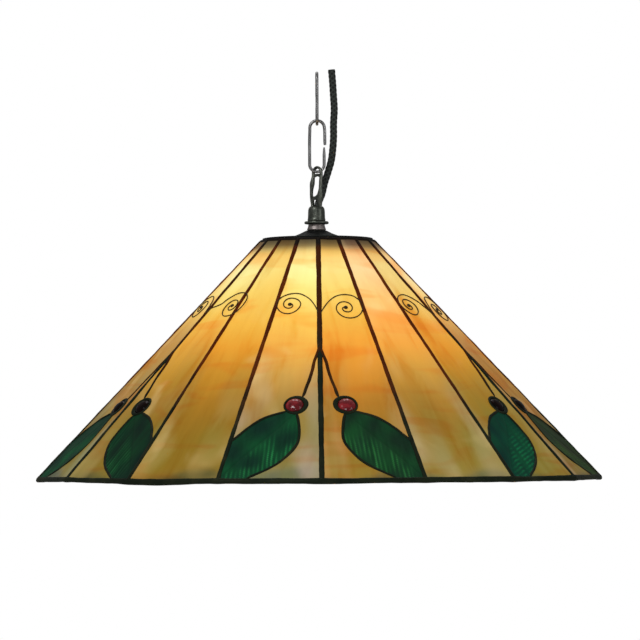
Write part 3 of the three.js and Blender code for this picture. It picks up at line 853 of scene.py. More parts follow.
def leaf_fields(panel, number):
    """The ribbed upper face of a leaf and its tint, as functions of (x, y)."""
    draw = random.Random(panel.seed * 5 + 3)
    tone = LEAF_TONES.get(panel.bearing, (draw.uniform(0.9, 1.9), 1.0, draw.uniform(0.75, 1.05)))
    draw = random.Random(panel.seed * 5 + 3)
    tilt = draw.uniform(-0.06, 0.10)
    if number in (2, 5):
        tilt = -2.6                     # these leaves have their ribs lying flatter
    phase = draw.uniform(0, 6.28)
    broad = Field(panel.seed + 5, length=30.0, count=6)
    fine = Field(panel.seed + 9, length=12.0, count=6, stretch=3.0)

    def ribs(x, y):
        """Strength and wave of the ribs below the midrib, and the midrib itself."""
        below = np.interp(x, MIDRIB_X, MIDRIB_Y) - y
        across = (x + tilt * y) / math.hypot(1, tilt)
        mask = np.clip(below / 8.0, 0, 1) * np.clip(1.0 + broad(x, y) * 0.7, 0.15, 1)
        wave = 2 * math.pi * across / LEAF_RIB_PITCH + phase + 0.5 * fine(x, y)
        return below, mask, np.clip(np.sin(wave), -0.2, 1), np.exp(-(below / 1.3) ** 2)

    def top_at(x, y):
        below, mask, wave, midrib = ribs(x, y)
        above = np.clip(-below / 10.0, 0, 1) * 0.35
        slanted = x * 0.62 - y * 0.78
        side_wave = np.clip(np.sin(2 * math.pi * slanted / SIDE_RIB_PITCH + phase), 0, 1)
        return (GLASS_FACE + 0.05 * broad(x, y) + 0.30 * mask * wave - 0.35 * midrib
                + 0.16 * above * side_wave)

    def tint_at(x, y):
        below, mask, wave, midrib = ribs(x, y)
        share = np.clip(0.52 + 0.28 * broad(x, y) - 0.25 * np.clip(-below / 14.0, 0, 1), 0, 1)
        colour = fade(srgb(10, 46, 38), srgb(12, 74, 46), share[:, None])
        crest = (mask * np.clip(wave, 0, 1) ** 2 * (0.55 + 0.45 * fine(x, y))
                 * np.clip((58 - y) / 20, 0.15, 1))
        colour = fade(colour, srgb(30, 126, 76), np.clip(crest, 0, 1)[:, None])
        midrib = midrib[:, None]
        colour = colour * (1 - 0.45 * midrib) + srgb(14, 62, 44) * 0.30 * midrib
        tip = np.clip((10 - y) / 14, 0, 1)[:, None] * 0.6
        return fade(colour, srgb(14, 48, 46), tip) * np.array(tone)
    return tint_at, top_at


# ------------------------------------------------------------------ outlines of the panes

LOW_Y, HIGH_Y = 0.9, SLANT - 0.9
COVER, WIDE_COVER = 0.75, 1.0           # how far a pane stops short of a seam
STEM_FOOT_Y, STEM_TOP_Y = 147, 160      # where the panes meet the seam beside the stem


def seam_x(y, cover, sign=1):
    return sign * (half_width(y) - cover)


def berry_angle(point):
    return math.degrees(math.atan2(point[1] - BERRY[1], point[0] - BERRY[0]))


def berry_arc(start, end, count):
    """Points on the jewel's ring between two angles."""
    angles = [math.radians(start + (end - start) * i / count) for i in range(count + 1)]
    return [(BERRY[0] + RING_MID * math.cos(a), BERRY[1] + RING_MID * math.sin(a))
            for a in angles]


def off_ring(points):
    return [point for point in points if math.dist(point, BERRY) > RING_MID + 0.5]


stem_line = [tuple(point) for point in resample(STEM, 3.0)[0]]
upper = [tuple(p) for p in resample(LEAF_UPPER, 2.5)[0] if p[0] > -(half_width(p[1]) - COVER)]
lower = [tuple(p) for p in resample(LEAF_LOWER, 2.5)[0] if p[1] > LOW_Y + 0.2]
stem = [point for point in stem_line if point[0] < half_width(point[1]) - 1.2]
upper_angle, lower_angle = berry_angle(upper[-1]) % 360, berry_angle(lower[0]) % 360
stem_angle = berry_angle(stem[0])
upper, lower, stem = off_ring(upper), off_ring(lower), off_ring(stem)
leaf_edge_x = seam_x(upper[0][1], COVER, -1)

UPPER_SHEET = cut_sheet(
    [(leaf_edge_x, upper[0][1] + 0.4)] + upper
    + berry_arc(upper_angle, stem_angle % 360, 12) + stem
    + [(seam_x(STEM_TOP_Y, WIDE_COVER), STEM_TOP_Y), (seam_x(HIGH_Y, WIDE_COVER), HIGH_Y),
       (seam_x(HIGH_Y, COVER, -1), HIGH_Y)], 4.0)
LOWER_SHEET = cut_sheet(
    lower[::-1] + berry_arc(lower_angle - 360, stem_angle, 14)
    + [point for point in stem if point[1] < STEM_FOOT_Y]
    + [(seam_x(STEM_FOOT_Y, WIDE_COVER), STEM_FOOT_Y), (seam_x(LOW_Y, WIDE_COVER), LOW_Y),
       (lower[-1][0], LOW_Y)], 4.0)
LEAF_SHEET = cut_sheet(
    [(leaf_edge_x, upper[0][1] - 0.4)] + upper
    + berry_arc(upper_angle, lower_angle, 5) + lower
    + [(lower[-1][0], LOW_Y), (seam_x(LOW_Y, COVER, -1), LOW_Y)], 1.25)
PLAIN_SHEET = cut_sheet([(seam_x(y, COVER, sign), y) for y, sign in
                         ((LOW_Y, -1), (LOW_Y, 1), (HIGH_Y, 1), (HIGH_Y, -1))], 4.0)

for tag, plane in LEAF_PANELS:
    amber_pane(f"amber_upper_{tag}", plane, UPPER_SHEET, 0, f"amber_pane_{tag}")
    amber_pane(f"amber_lower_{tag}", plane, LOWER_SHEET, 2, f"amber_pane_{tag}")
    tint, top = leaf_fields(plane, int(tag[0]))
    pane(f"leaf_{tag}", plane, LEAF_SHEET, LEAF, "green_glass", f"leaf_pane_{tag}",
         tint, top, wavy(plane, -GLASS_FACE, 0.12))
for tag, plane in PLAIN_PANELS:
    amber_pane(f"amber_plain_{tag}", plane, PLAIN_SHEET, 4, f"plain_pane_{tag}")

# ------------------------------------------------------------------ pressed jewels

# Rows of a faceted dome before scaling: radius, height, vertices, turn in steps
JEWEL_ROWS = [(9.25, -1.5, 16, 0), (9.25, 1.0, 16, 0), (8.3, 2.35, 16, 0),
              (6.3, 3.75, 8, 0), (3.6, 4.6, 8, 0.5)]
JEWEL_TOP = 4.55
JEWEL_SCALE, JEWEL_FLATTEN = JEWEL_RADIUS / JEWEL_ROWS[0][0], 0.94


def jewel(tag, panel, seed):
    turn = math.radians(random.Random(seed).uniform(0, 30))
    centre_x, centre_y = BERRY[0] + JEWEL_SHIFT, BERRY[1]
    verts, rows = [], []
    for radius, height, count, offset in JEWEL_ROWS:
        radius *= JEWEL_SCALE
        height *= JEWEL_FLATTEN if height > 0 else 1.0
        rows.append(range(len(verts), len(verts) + count))
        for j in range(count):
            angle = turn + 2 * math.pi * (j + offset) / count
            verts.append(panel.at(centre_x + radius * math.cos(angle),
                                  centre_y + radius * math.sin(angle), height))
    apex = len(verts)
    verts.append(panel.at(centre_x, centre_y, JEWEL_TOP))
    base, wall, girdle, facets, crown = rows
    faces = [tuple(reversed(base))]
    for low, high in ((base, wall), (wall, girdle)):
        faces += [(low[j], low[(j + 1) % 16], high[(j + 1) % 16], high[j]) for j in range(16)]
    for j in range(8):
        first, middle, last = girdle[2 * j], girdle[2 * j + 1], girdle[(2 * j + 2) % 16]
        here, ahead = facets[j], facets[(j + 1) % 8]
        faces += [(first, middle, here), (middle, ahead, here), (middle, last, ahead)]
        peak, behind = crown[j], crown[(j - 1) % 8]
        faces += [(here, ahead, peak), (behind, here, peak), (behind, peak, apex)]
    shell = Shell()
    shell.add(verts, panel.facing(faces))
    obj = shell.make(f"jewel_{tag}", RED, "red_glass", [f"berry_{tag}"], None,
                     attributes={"pn": ("FLOAT_VECTOR", [tuple(panel.out)] * len(verts))})
    for polygon in obj.data.polygons:
        polygon.use_smooth = False
    bevel = obj.modifiers.new("soft_edges", "BEVEL")
    bevel.width = 0.00028
    bevel.segments = 2
    bevel.limit_method = "ANGLE"
    bevel.angle_limit = math.radians(8)


for i, (tag, plane) in enumerate(LEAF_PANELS):
    jewel(tag, plane, 300 + i)

# ------------------------------------------------------------------ solder work

LATTICE = ["solder_lattice"]

# a seam runs up every corner, wider between the two leaf panels of a pair
seams, pair_seams = Shell(), Shell()
seam_length = math.hypot(SHADE_HEIGHT, RIM_RADIUS - TOP_RADIUS)
seam_path = [(0, -0.2), (0, seam_length * 0.3), (0, seam_length * 0.7), (0, seam_length - 0.3)]
for i in range(SIDES):
    between_pair = FACET * i % REPEAT == 0
    bead(pair_seams if between_pair else seams, Plane(FACET * i, RIM_RADIUS, TOP_RADIUS).at,
         seam_path, PAIR_SEAM_HALF if between_pair else SEAM_HALF, depth=2.0,
         seed=500 + 9 * i, step=4.0, tapered=False)
seams.make("solder_seams", SOLDER, "dark_solder", LATTICE)
pair_seams.make("solder_pair_seams", SOLDER_DARK, "dark_solder", LATTICE)


def jewel_ring(shell, panel, i, count=28, around=12):
    """The solder ring round a jewel, its inner edge following the off-centre jewel."""
    shift, outline = Wobble(1300 + i, (30.8, 15.4, 10.3)), Wobble(1350 + i, (30.8, 15.4, 7.7))
    verts = []
    for j in range(count):
        angle = 2 * math.pi * j / count
        c, s = math.cos(angle), math.sin(angle)
        inner = JEWEL_SHIFT * c + math.sqrt(JEWEL_RADIUS ** 2 - (JEWEL_SHIFT * s) ** 2) - 0.45
        outer = RING_MID + RING_HALF + 0.12 * outline(angle * RING_MID)
        for sideways, height in solder_section((outer - inner) / 2, 2.6, 1.9, around, power=2.4):
            radius = (outer + inner) / 2 + sideways + 0.08 * shift(angle * RING_MID)
            verts.append(panel.at(BERRY[0] + radius * c, BERRY[1] + radius * s, height))
    shell.add(verts, ring_faces(count, around, closed=True))


def stem_fork(shell, panel):
    """Solder filling the fork between stem and seam."""
    outline = [point for point in stem_line if 137 < point[1] < 157]
    outline += [(half_width(y) - 0.4, y) for y in (157, 147, 138)] + [(25.0, 143.0)]
    count = len(outline)
    centre_x = sum(point[0] for point in outline) / count
    centre_y = sum(point[1] for point in outline) / count
    verts = []
    for scale, height in ((1.0, -1.8), (1.0, 1.5), (0.94, 2.0), (0.6, 2.25)):
        verts += [panel.at(centre_x + (x - centre_x) * scale, centre_y + (y - centre_y) * scale,
                           height) for x, y in outline]
    faces = [tuple(range(count)), tuple(reversed(range(3 * count, 4 * count)))]
    for low in (0, count, 2 * count):
        high = low + count
        for j in range(count):
            k = (j + 1) % count
            faces.append((low + j, high + j, high + k, low + k))
    shell.add(verts, panel.facing(faces))


lines, stems = Shell(), Shell()
for i, (tag, plane) in enumerate(LEAF_PANELS):
    for shell, path, half, seed in ((lines, LEAF_UPPER, LINE_HALF, 700),
                                    (lines, LEAF_LOWER, LINE_HALF, 900),
                                    (stems, STEM, STEM_HALF, 1100)):
        bead(shell, plane.at, path, half, depth=1.9, seed=seed + 11 * i, step=2.5)
    jewel_ring(lines, plane, i)
    stem_fork(lines, plane)
stems.make("solder_stems", SOLDER_STEM, "dark_solder", LATTICE)
lines.make("solder_leaf_lines", SOLDER_DARK, "dark_solder", LATTICE)

# Bands round the shade's edges: (outwards from the edge, height above it)
RIM_PROFILE = [(-1.5, -2.15), (1.4, -2.15), (2.4, -1.0), (1.9, 1.2), (0.1, 2.7),
               (-2.75, 0.17), (-2.6, -1.3)]
TOP_PROFILE = [(2.1, -0.6), (1.8, 1.3), (0.8, 2.35), (-3.6, 2.35), (-3.6, 0.4), (-0.03, -2.76)]
# Uneven stretches of the rim: bearing, width in degrees, added thickness below, rise
RIM_RUNS = [
    (-34, 7, 1.3, -0.5), (-62, 9, -0.2, 0.7), (30, 8, 0.6, 0.4), (4, 6, 0.5, 0.0),
    (-12, 5, 0.5, 0.2), (60, 10, 0.4, 0.3), (104, 9, 0.9, 0.0), (146, 7, 0.7, 0.3),
    (188, 8, 1.0, -0.2), (231, 9, 0.6, 0.2), (270, 6, 0.8, 0.0)]


def edge_band(name, apothem, z, profile, seed, per_edge, swell, lift=0.0, corner=0.0, runs=()):
    """Solder round an edge; swell varies its size, lift its height, corner thickens corners."""
    profile = rounded(profile, 0.9, 3)
    mid_out, mid_height = np.mean(np.array(profile), axis=0)
    lift_wobble = Wobble(seed, (240.0, 61.0, 19.0), (0.5, 0.4, 0.3))
    swell_wobble = Wobble(seed + 1, (90.0, 33.0, 12.0))
    edge = 2 * apothem * math.tan(math.pi / SIDES)
    verts, along = [], 0.0
    for i in range(SIDES):
        start, end = math.radians(FACET * i), math.radians(FACET * i + FACET)
        for j in range(per_edge):
            t = j / per_edge
            along += edge / per_edge
            size = (1 + swell * swell_wobble(along)
                    + corner * math.exp(-(min(t, 1 - t) * edge / 7.0) ** 2))
            here = FACET * i + FACET * t
            sag = rise = 0.0
            for bearing, width, run_sag, run_rise in runs:
                apart = (here - bearing + 180) % 360 - 180
                sag += run_sag * math.exp(-(apart / width) ** 2)
                rise += run_rise * math.exp(-(apart / width) ** 2)
            for out, height in profile:
                height = mid_height + (height - mid_height) * size + rise
                if height < mid_height + rise:
                    height -= sag
                radius = (apothem + mid_out + (out - mid_out) * size) / FLAT_RATIO
                x, y = fade(np.array((radius * math.sin(start), -radius * math.cos(start))),
                            np.array((radius * math.sin(end), -radius * math.cos(end))), t)
                verts.append((x, y, z + height + lift * lift_wobble(along)))
    shell = Shell()
    shell.add(verts, ring_faces(SIDES * per_edge, len(profile), closed=True))
    shell.make(name, SOLDER_DARK, "dark_solder", LATTICE, 50)


edge_band("rim_band", RIM_APOTHEM, RIM_Z, RIM_PROFILE, seed=1500, per_edge=12,
          swell=0.07, lift=0.16, corner=0.14, runs=RIM_RUNS)
edge_band("top_band", TOP_APOTHEM, RIM_Z + SHADE_HEIGHT, TOP_PROFILE, seed=1600, per_edge=5,
          swell=0.02)

# ------------------------------------------------------------------ scroll wires

WIRE_RADIUS, WIRE_HEIGHT = 0.56, 1.95
# Solder dome at the inner end of a scroll: radius, height
DOME = [(1.75, 1.3), (1.85, 1.9), (1.5, 2.6), (0.8, 3.0)]
DOME_TOP, DOME_AROUND = 3.1, 14


def scroll_wire(shell, panel, shift_x, shift_y, seed):
    """A wire scroll and its dome; the first three points keep their x on the seam."""
    path = SCROLL_LEFT if panel.side > 0 else SCROLL_RIGHT
    points, along = resample([(x + shift_x if j > 2 else x, y + shift_y)
                              for j, (x, y) in enumerate(path)], 1.6)
    wobble = Wobble(seed, (21.0, 9.0, 4.3))

    def thickness(i, distance, angle):
        return (0.45 + 0.55 * min(1, distance / 2.0)) * (1 + 0.12 * wobble(distance * 1.7))

    sweep(shell, [panel.at(x, y, WIRE_HEIGHT + 0.10 * wobble(s)) for (x, y), s
                  in zip(points, along)], WIRE_RADIUS, 8, panel.out, thickness)
    x, y = points[-1] - np.array((0.4, 0.3))
    dome = []
    for radius, height in DOME:
        for j in range(DOME_AROUND):
            angle = 2 * math.pi * j / DOME_AROUND
            wide = 1.06 if j % 3 else 1.0
            dome.append(panel.at(x + radius * math.cos(angle) * wide,
                                 y + radius * math.sin(angle), height))
    apex, last = len(dome), len(dome) - DOME_AROUND
    dome.append(panel.at(x, y, DOME_TOP))
    faces = ring_faces(len(DOME), DOME_AROUND, capped=False)
    faces.append(tuple(reversed(range(DOME_AROUND))))
    faces += [(last + j, last + (j + 1) % DOME_AROUND, apex) for j in range(DOME_AROUND)]
    shell.add(dome, panel.facing(faces))


wires = Shell()
for i, (tag, plane) in enumerate(LEAF_PANELS):
    draw = random.Random(1700 + i)
    shift_x, shift_y = draw.uniform(-0.5, 0.5), draw.uniform(-0.8, 0.8)
    if i < 2:                           # the front pair lies exactly on its outline
        shift_x = shift_y = 0.0
    if tag == "6R":                     # this one is bent well out of place
        shift_x, shift_y = -7.4, 4.4
    scroll_wire(wires, plane, shift_x, shift_y, 1720 + i)
wires.make("scroll_wires", SCROLL, "dark_solder", angle=50)

# ------------------------------------------------------------------ cap, collar, washer

FITTING_SHIFT = -0.9        # the fittings sit a little to one side of the shade's axis

# Turned profiles: (radius, z)
CAP = [
    (43, 218.35), (50.2, 218.35), (50.2, 219.7), (36, 220.0), (26.5, 220.7), (21, 221.8),
    (14.8, 224.2), (10.6, 226.3), (9.1, 227.0), (5.3, 227.0), (5.3, 225.7), (8.3, 225.5),
    (13, 223.2), (19.2, 220.3), (26, 219.4), (36, 219.0)]
COLLAR = [
    (6.3, 227.3), (8.4, 227.3), (8.65, 228.0), (8.3, 228.9), (7.8, 230.4), (7.45, 231.6),
    (7.6, 232.3), (6.3, 232.3)]
WASHER = [
    (6.3, 232.6), (8.2, 232.6), (8.6, 233.3), (10.2, 232.9), (10.95, 233.2), (11.1, 234.2),
    (10.6, 235.3), (9.6, 235.0), (8.4, 235.3), (6.3, 235.3)]
CUP_BORE, TUBE_BORE = 4.3, 6.2
CUP = [
    (TUBE_BORE, 235.6), (8.0, 235.6), (8.2, 236.5), (8.1, 237.4), (7.85, 238.1), (7.8, 239.4),
    (7.7, 243.0), (7.5, 246.0), (6.9, 247.7), (5.8, 248.9), (4.6, 249.3), (CUP_BORE, 249.1),
    (CUP_BORE, 243.7), (TUBE_BORE, 243.1)]


def cap_shift(x, y):
    """The crown of the cap is pushed to -X, all but its bore."""
    radius = math.hypot(x, y)
    return -1.1 * min(1.0, max(0.0, (30.0 - radius) / 12.0)) * (radius > 5.4)


shell = Shell()
lathe(shell, rounded(CAP, 0.4, 2), 72)
shell.verts = [(x + cap_shift(x, y), y, z) for x, y, z in shell.verts]
shell.make("vase_cap_turned", BLACKENED, "dark_bronze", ["vase_cap"], 40)

shell = Shell()
lathe(shell, rounded(COLLAR, 0.3, 3), shift=FITTING_SHIFT)
shell.make("neck_collar_turned", NICKEL, "nickel", ["neck_collar"], 40)

shell = Shell()
lathe(shell, rounded(WASHER, 0.25, 2), shift=FITTING_SHIFT)
shell.make("flange_washer_turned", BRONZE, "dark_bronze", ["flange_washer"], 40)

# ------------------------------------------------------------------ cup and loop, cast in one

LOOP_LEAN = 0.9
LOOP_BEARING = math.radians(-50)
LOOP_ACROSS = np.array((math.cos(LOOP_BEARING), math.sin(LOOP_BEARING), 0.0))
LOOP_NORMAL = np.array((-LOOP_ACROSS[1], LOOP_ACROSS[0], 0.0))      # towards the flex
ARCH_RADIUS, ARCH_Z = 5.5, 279.15
# Points in the plane of the loop: (across, z)
LEG = [(5.15, 246.6), (5.2, 250.5), (5.9, 256.0), (6.2, 262.0), (5.9, 268.5), (5.45, 274.6)]
TOP_WEB = [
    (-5.0, 275.4), (-3.0, 275.8), (0.0, 276.4), (3.0, 275.8), (5.0, 275.4), (4.8, 278.4),
    (2.4, 278.7), (0.0, 278.85), (-2.4, 278.7), (-4.8, 278.4)]
FOOT_WEB = [
    (-5.4, 250.2), (-3.1, 250.2), (-2.75, 252.8), (-2.6, 254.7), (0.0, 254.8), (5.6, 254.6),
    (5.9, 265.5), (4.7, 262.8), (3.1, 260.0), (0.0, 258.4), (-3.0, 258.2), (-5.8, 259.0)]


def loop_point(across, normal, z, lean_z):
    """A point of the loop, moved along X by the loop's lean at height lean_z."""
    t = min(1.0, max(0.0, (lean_z - 249.0) / 28.0))
    lean = FITTING_SHIFT + LOOP_LEAN * t ** 1.3 - 0.8 * math.sin(math.pi * t)
    return (across * LOOP_ACROSS[0] + normal * LOOP_NORMAL[0] + lean,
            across * LOOP_ACROSS[1] + normal * LOOP_NORMAL[1], z)


def loop_web(shell, outline, back, front):
    """A thin cast web between the legs, from back to front along the loop's normal."""
    points = resample(outline + outline[:1], 0.7)[0][:-1]
    mid_z = sum(point[1] for point in points) / len(points)
    verts = []
    for normal, scale in ((back, 0.90), (back + 0.3, 1.0), (front - 0.3, 1.0), (front, 0.90)):
        verts += [loop_point(across * scale, normal, mid_z + (z - mid_z) * scale, z)
                  for across, z in points]
    shell.add(verts, ring_faces(4, len(points)))


arch = [(ARCH_RADIUS * math.cos(a), ARCH_Z + ARCH_RADIUS * math.sin(a))
        for a in np.radians(np.linspace(12, 168, 9))]
loop_path, along = resample(LEG + arch + [(-across, z) for across, z in reversed(LEG)], 1.5)
loop_length = along[-1]


def loop_thickness(i, distance, angle):
    """Worn at the top, thick at the end in the cup, and swollen part-way up each leg."""
    left = loop_length - distance
    return (1.0 - 0.20 * math.exp(-((distance - loop_length / 2 + 2.6) / 4.2) ** 2)
            + 0.45 * math.exp(-left / 2.6)
            + 0.58 * math.exp(-((distance - 9.5) / 6.0) ** 2)
            + 0.48 * math.exp(-((left - 23.5) / 4.2) ** 2))


shell = Shell()
lathe(shell, rounded(CUP, 0.3, 2), shift=FITTING_SHIFT)
sweep(shell, [loop_point(across, 0.0, z, z) for across, z in loop_path], 1.52, 18,
      -LOOP_NORMAL, loop_thickness)
loop_web(shell, TOP_WEB, -0.85, 0.85)
loop_web(shell, FOOT_WEB, -1.3, 0.1)
shell.make("loop_cup_cast", BRONZE, "dark_bronze", ["loop_cup"])

# ------------------------------------------------------------------ chain links

LINK_LENGTH, LINK_GAP, LINK_WIRE = 46.7, 2.0, 1.42


def chain_link(name, bottom, turn, body, replaces, half, shift, splay):
    """Open wire link; the upper half of the cut leg stands proud by splay.

    The link is half wide to the wire's centre, and shift moves all but its top along X.
    """
    top = bottom + LINK_LENGTH
    low, high = bottom + half, top - half
    middle = (low + high) / 2
    bend = np.linspace(0.12, math.pi - 0.12, 13)
    knots = [(half, middle - LINK_GAP / 2), (half, middle - 5.0), (half, low + 3.5)]
    knots += [(half * math.cos(a), low - half * math.sin(a)) for a in bend]
    knots += [(-half, low + 3.5), (-half, middle), (-half, high - 3.5)]
    knots += [(-half * math.cos(a), high + half * math.sin(a)) for a in bend]
    knots += [(half + splay * 0.45, high - 3.5), (half + splay * 0.85, middle + 5.0),
              (half + splay, middle + LINK_GAP / 2)]
    points, along = resample(knots, 1.2)
    cosine, sine = math.cos(math.radians(turn)), math.sin(math.radians(turn))

    def thickness(i, distance, angle):
        """Tapered at both cut ends and worn at the bottom."""
        worn = 0.09 * math.exp(-((points[i][1] - bottom) / 3.4) ** 2)
        return ((0.52 + 0.48 * min(1.0, (distance / 7.0)) ** 0.8)
                * (0.80 + 0.20 * min(1.0, (along[-1] - distance) / 2.0)) - worn)

    centres = []
    for x, z in points:
        t = 1.0 - min(1.0, max(0.0, (z - bottom - LINK_LENGTH + 20.0) / 13.0))
        centres.append((x * cosine + shift * t ** 2 * (3 - 2 * t), x * sine, z))
    shell = Shell()
    sweep(shell, centres, LINK_WIRE, 16, (-sine, cosine, 0.0), thickness)
    shell.make(name, STEEL, "steel_wire", [replaces], body=body)


chain_link("link_lower", 280.6, 0, "hanging_link", "chain_link_lower",
           half=6.6, shift=-0.3, splay=0.8)
chain_link("link_upper", 323.95, 90, "top_link", "chain_link_upper",
           half=7.0, shift=0.0, splay=0.3)

# ------------------------------------------------------------------ flex

FLEX_RADIUS, FLEX_STEP, FLEX_AROUND = 3.3, 0.55, 36
FLEX_CUT_Z = 306.0                      # the flex is two objects, meeting here
BRAID_STRANDS, BRAID_PITCH = 4, 17.0
# Centre line: (x, y, z)
FLEX_PATH = [
    (0, 0, 206), (0, 0, 218), (0, 0, 230), (0, 0, 243), (0.1, 0.35, 248.5), (1.7, 3.1, 254.3),
    (4.3, 5.3, 261), (6.7, 6.3, 271), (9.9, 6.2, 281), (12.8, 5.0, 291), (14.2, 3.6, 301),
    (15.0, 3.2, 312), (15.1, 4.0, 325), (15.8, 5.2, 338), (15.2, 6.0, 350), (14.5, 6.5, 362),
    (13.5, 6.5, 374.5)]


def braid(distance, angle):
    """Height of the two crossing sets of strands, 0..1."""
    twist = 2 * math.pi / BRAID_PITCH
    turn, run = 0.5 * BRAID_STRANDS * angle, 0.5 * BRAID_STRANDS * twist * distance
    return max(abs(math.cos(turn + run)), abs(math.cos(turn - run))) ** 3


def flex_piece(name, points, start, replaces):
    shell = Shell()
    sweep(shell, points, FLEX_RADIUS, FLEX_AROUND, (0, 1, 0),
          lambda i, distance, angle: 0.945 + 0.07 * braid(start + distance, angle))
    values = [braid(start + i * FLEX_STEP, 2 * math.pi * j / FLEX_AROUND)
              for i in range(len(points)) for j in range(FLEX_AROUND)]
    return shell.make(name, FLEX, "black_flex", replaces, 60, rides=False,
                      attributes={"braid": ("FLOAT", values)})


flex_line, along = resample(FLEX_PATH, FLEX_STEP)
cut = int(np.argmin(np.abs(flex_line[:, 2] - FLEX_CUT_Z)))
flex_low = flex_piece("flex_cable_low", flex_line[:cut + 1], 0.0, ["flex_middle", "flex_lower"])
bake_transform(flex_low)
flex_high = flex_piece("flex_cable_high", flex_line[cut:], along[cut], ["flex_upper"])
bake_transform(flex_high)

# ------------------------------------------------------------------ inside the shade

HUB_BORE = 5.3

# threaded tube, its thread turned as plain grooves
profile = [(3.8, 203.0), (4.5, 203.0)]
z = 203.4
while z < 242.3:
    profile += [(4.55, z), (4.98, z + 0.5)]
    z += 1.0
profile += [(4.5, 242.8), (3.8, 242.8)]
shell = Shell()
lathe(shell, profile, 40)
shell.make("threaded_tube_cut", BRASS, "brass", ["threaded_tube"], 25)

# crossbar: pressed strip with a round hub, turned to lie along a panel's bearing
BAR_HALF_LENGTH, BAR_HALF_WIDTH, HUB_RADIUS, BAR_AROUND = 46.0, 6.0, 10.4, 96
BAR_TURN = math.radians(FACET / 2)
# (z, scale of the outline) from the lower face to the upper
BAR_LEVELS = [(214.6, 0.985), (214.9, 1.0), (216.5, 1.0), (216.8, 0.985)]
bar, bore = [], []
for i in range(BAR_AROUND):
    angle = 2 * math.pi * i / BAR_AROUND
    x, y = math.cos(angle), math.sin(angle)
    radius = max(HUB_RADIUS, min(BAR_HALF_WIDTH / max(abs(y), 1e-6),
                                 BAR_HALF_LENGTH / max(abs(x), 1e-6)))
    bar.append((radius * x, radius * y))
    bore.append((HUB_BORE * x, HUB_BORE * y))
levels = [(bar, z, scale) for z, scale in BAR_LEVELS]
levels += [(bore, BAR_LEVELS[-1][0], 1.0), (bore, BAR_LEVELS[0][0], 1.0)]
cosine, sine = math.cos(BAR_TURN), math.sin(BAR_TURN)
verts = [(x * scale * cosine - y * scale * sine, x * scale * sine + y * scale * cosine, z)
         for outline, z, scale in levels for x, y in outline]
shell = Shell()
shell.add(verts, ring_faces(len(levels), BAR_AROUND, closed=True))
shell.make("crossbar_pressed", BRASS, "brass", ["crossbar"], 35)

# lock nut: a hexagon limited to a radius at each z, then its bore
NUT_FLAT, NUT_AROUND = 7.0, 48
NUT_LEVELS = [(209.6, 7.45), (210.3, 8.3), (213.6, 8.3), (214.3, 7.45),
              (214.3, HUB_BORE), (209.6, HUB_BORE)]
verts = []
for z, limit in NUT_LEVELS:
    for i in range(NUT_AROUND):
        angle = 2 * math.pi * i / NUT_AROUND
        from_flat = (angle + math.pi / 6) % (math.pi / 3) - math.pi / 6
        radius = min(NUT_FLAT / math.cos(from_flat), limit)
        verts.append((radius * math.cos(angle), radius * math.sin(angle), z))
shell = Shell()
shell.add(verts, ring_faces(len(NUT_LEVELS), NUT_AROUND, closed=True))
shell.make("lock_nut_hex", BRASS, "brass", ["lock_nut"], 25)

# CAD pieces that stay, with a finish of their own
for name, finish in (("lampholder_cap", BRASS), ("lampholder_shell", BRASS),
                     ("lampholder_core", CERAMIC), ("bulb_cap", NICKEL)):
    materials = frame["nodes"][name].data.materials
    materials.clear()
    materials.append(finish)

# bulb: (radius, z), hanging with its round end down
BULB_PROFILE = [
    (0, 66), (6, 66.8), (12, 68.9), (17, 71.8), (21.5, 75.4), (25.5, 80.2), (28.4, 86.0),
    (29.8, 92.0), (30.0, 98.0), (29.4, 104.5), (27.8, 111.5), (25.2, 118.8), (22.2, 126.2),
    (19.2, 133.0), (16.4, 139.4), (14.4, 144.2), (13.2, 147.4), (12.8, 149.4), (0, 149.4)]
shell = Shell()
lathe(shell, BULB_PROFILE, 56)
shell.make("bulb_envelope", BULB, "opal_bulb", ["bulb_glass"], 50, body="bulb")

# ------------------------------------------------------------------ world and floor (metres)

scene = bpy.context.scene
scene.view_settings.view_transform = "Standard"
scene.view_settings.look = "None"
scene.view_settings.exposure = 0.0
scene.view_settings.gamma = 1.0

WORLD_LIGHT, WORLD_SEEN = 0.20, 1.0     # strength as light, and as the camera sees it
FLOOR_HALF, FLOOR_Z = 9.0, -0.75


def empty_tree(owner):
    owner.use_nodes = True
    owner.node_tree.nodes.clear()
    return owner.node_tree.nodes, owner.node_tree.links


def white_world():
    world = bpy.data.worlds.new("studio")
    scene.world = world
    nodes, links = empty_tree(world)
    output = nodes.new("ShaderNodeOutputWorld")
    background = nodes.new("ShaderNodeBackground")
    rays = nodes.new("ShaderNodeLightPath")
    background.inputs["Color"].default_value = (1.0, 1.0, 1.0, 1.0)
    strength = nodes.new("ShaderNodeMapRange")
    strength.inputs[3].default_value = WORLD_LIGHT
    strength.inputs[4].default_value = WORLD_SEEN
    links.new(rays.outputs["Is Camera Ray"], strength.inputs[0])
    links.new(strength.outputs[0], background.inputs["Strength"])
    links.new(background.outputs[0], output.inputs["Surface"])


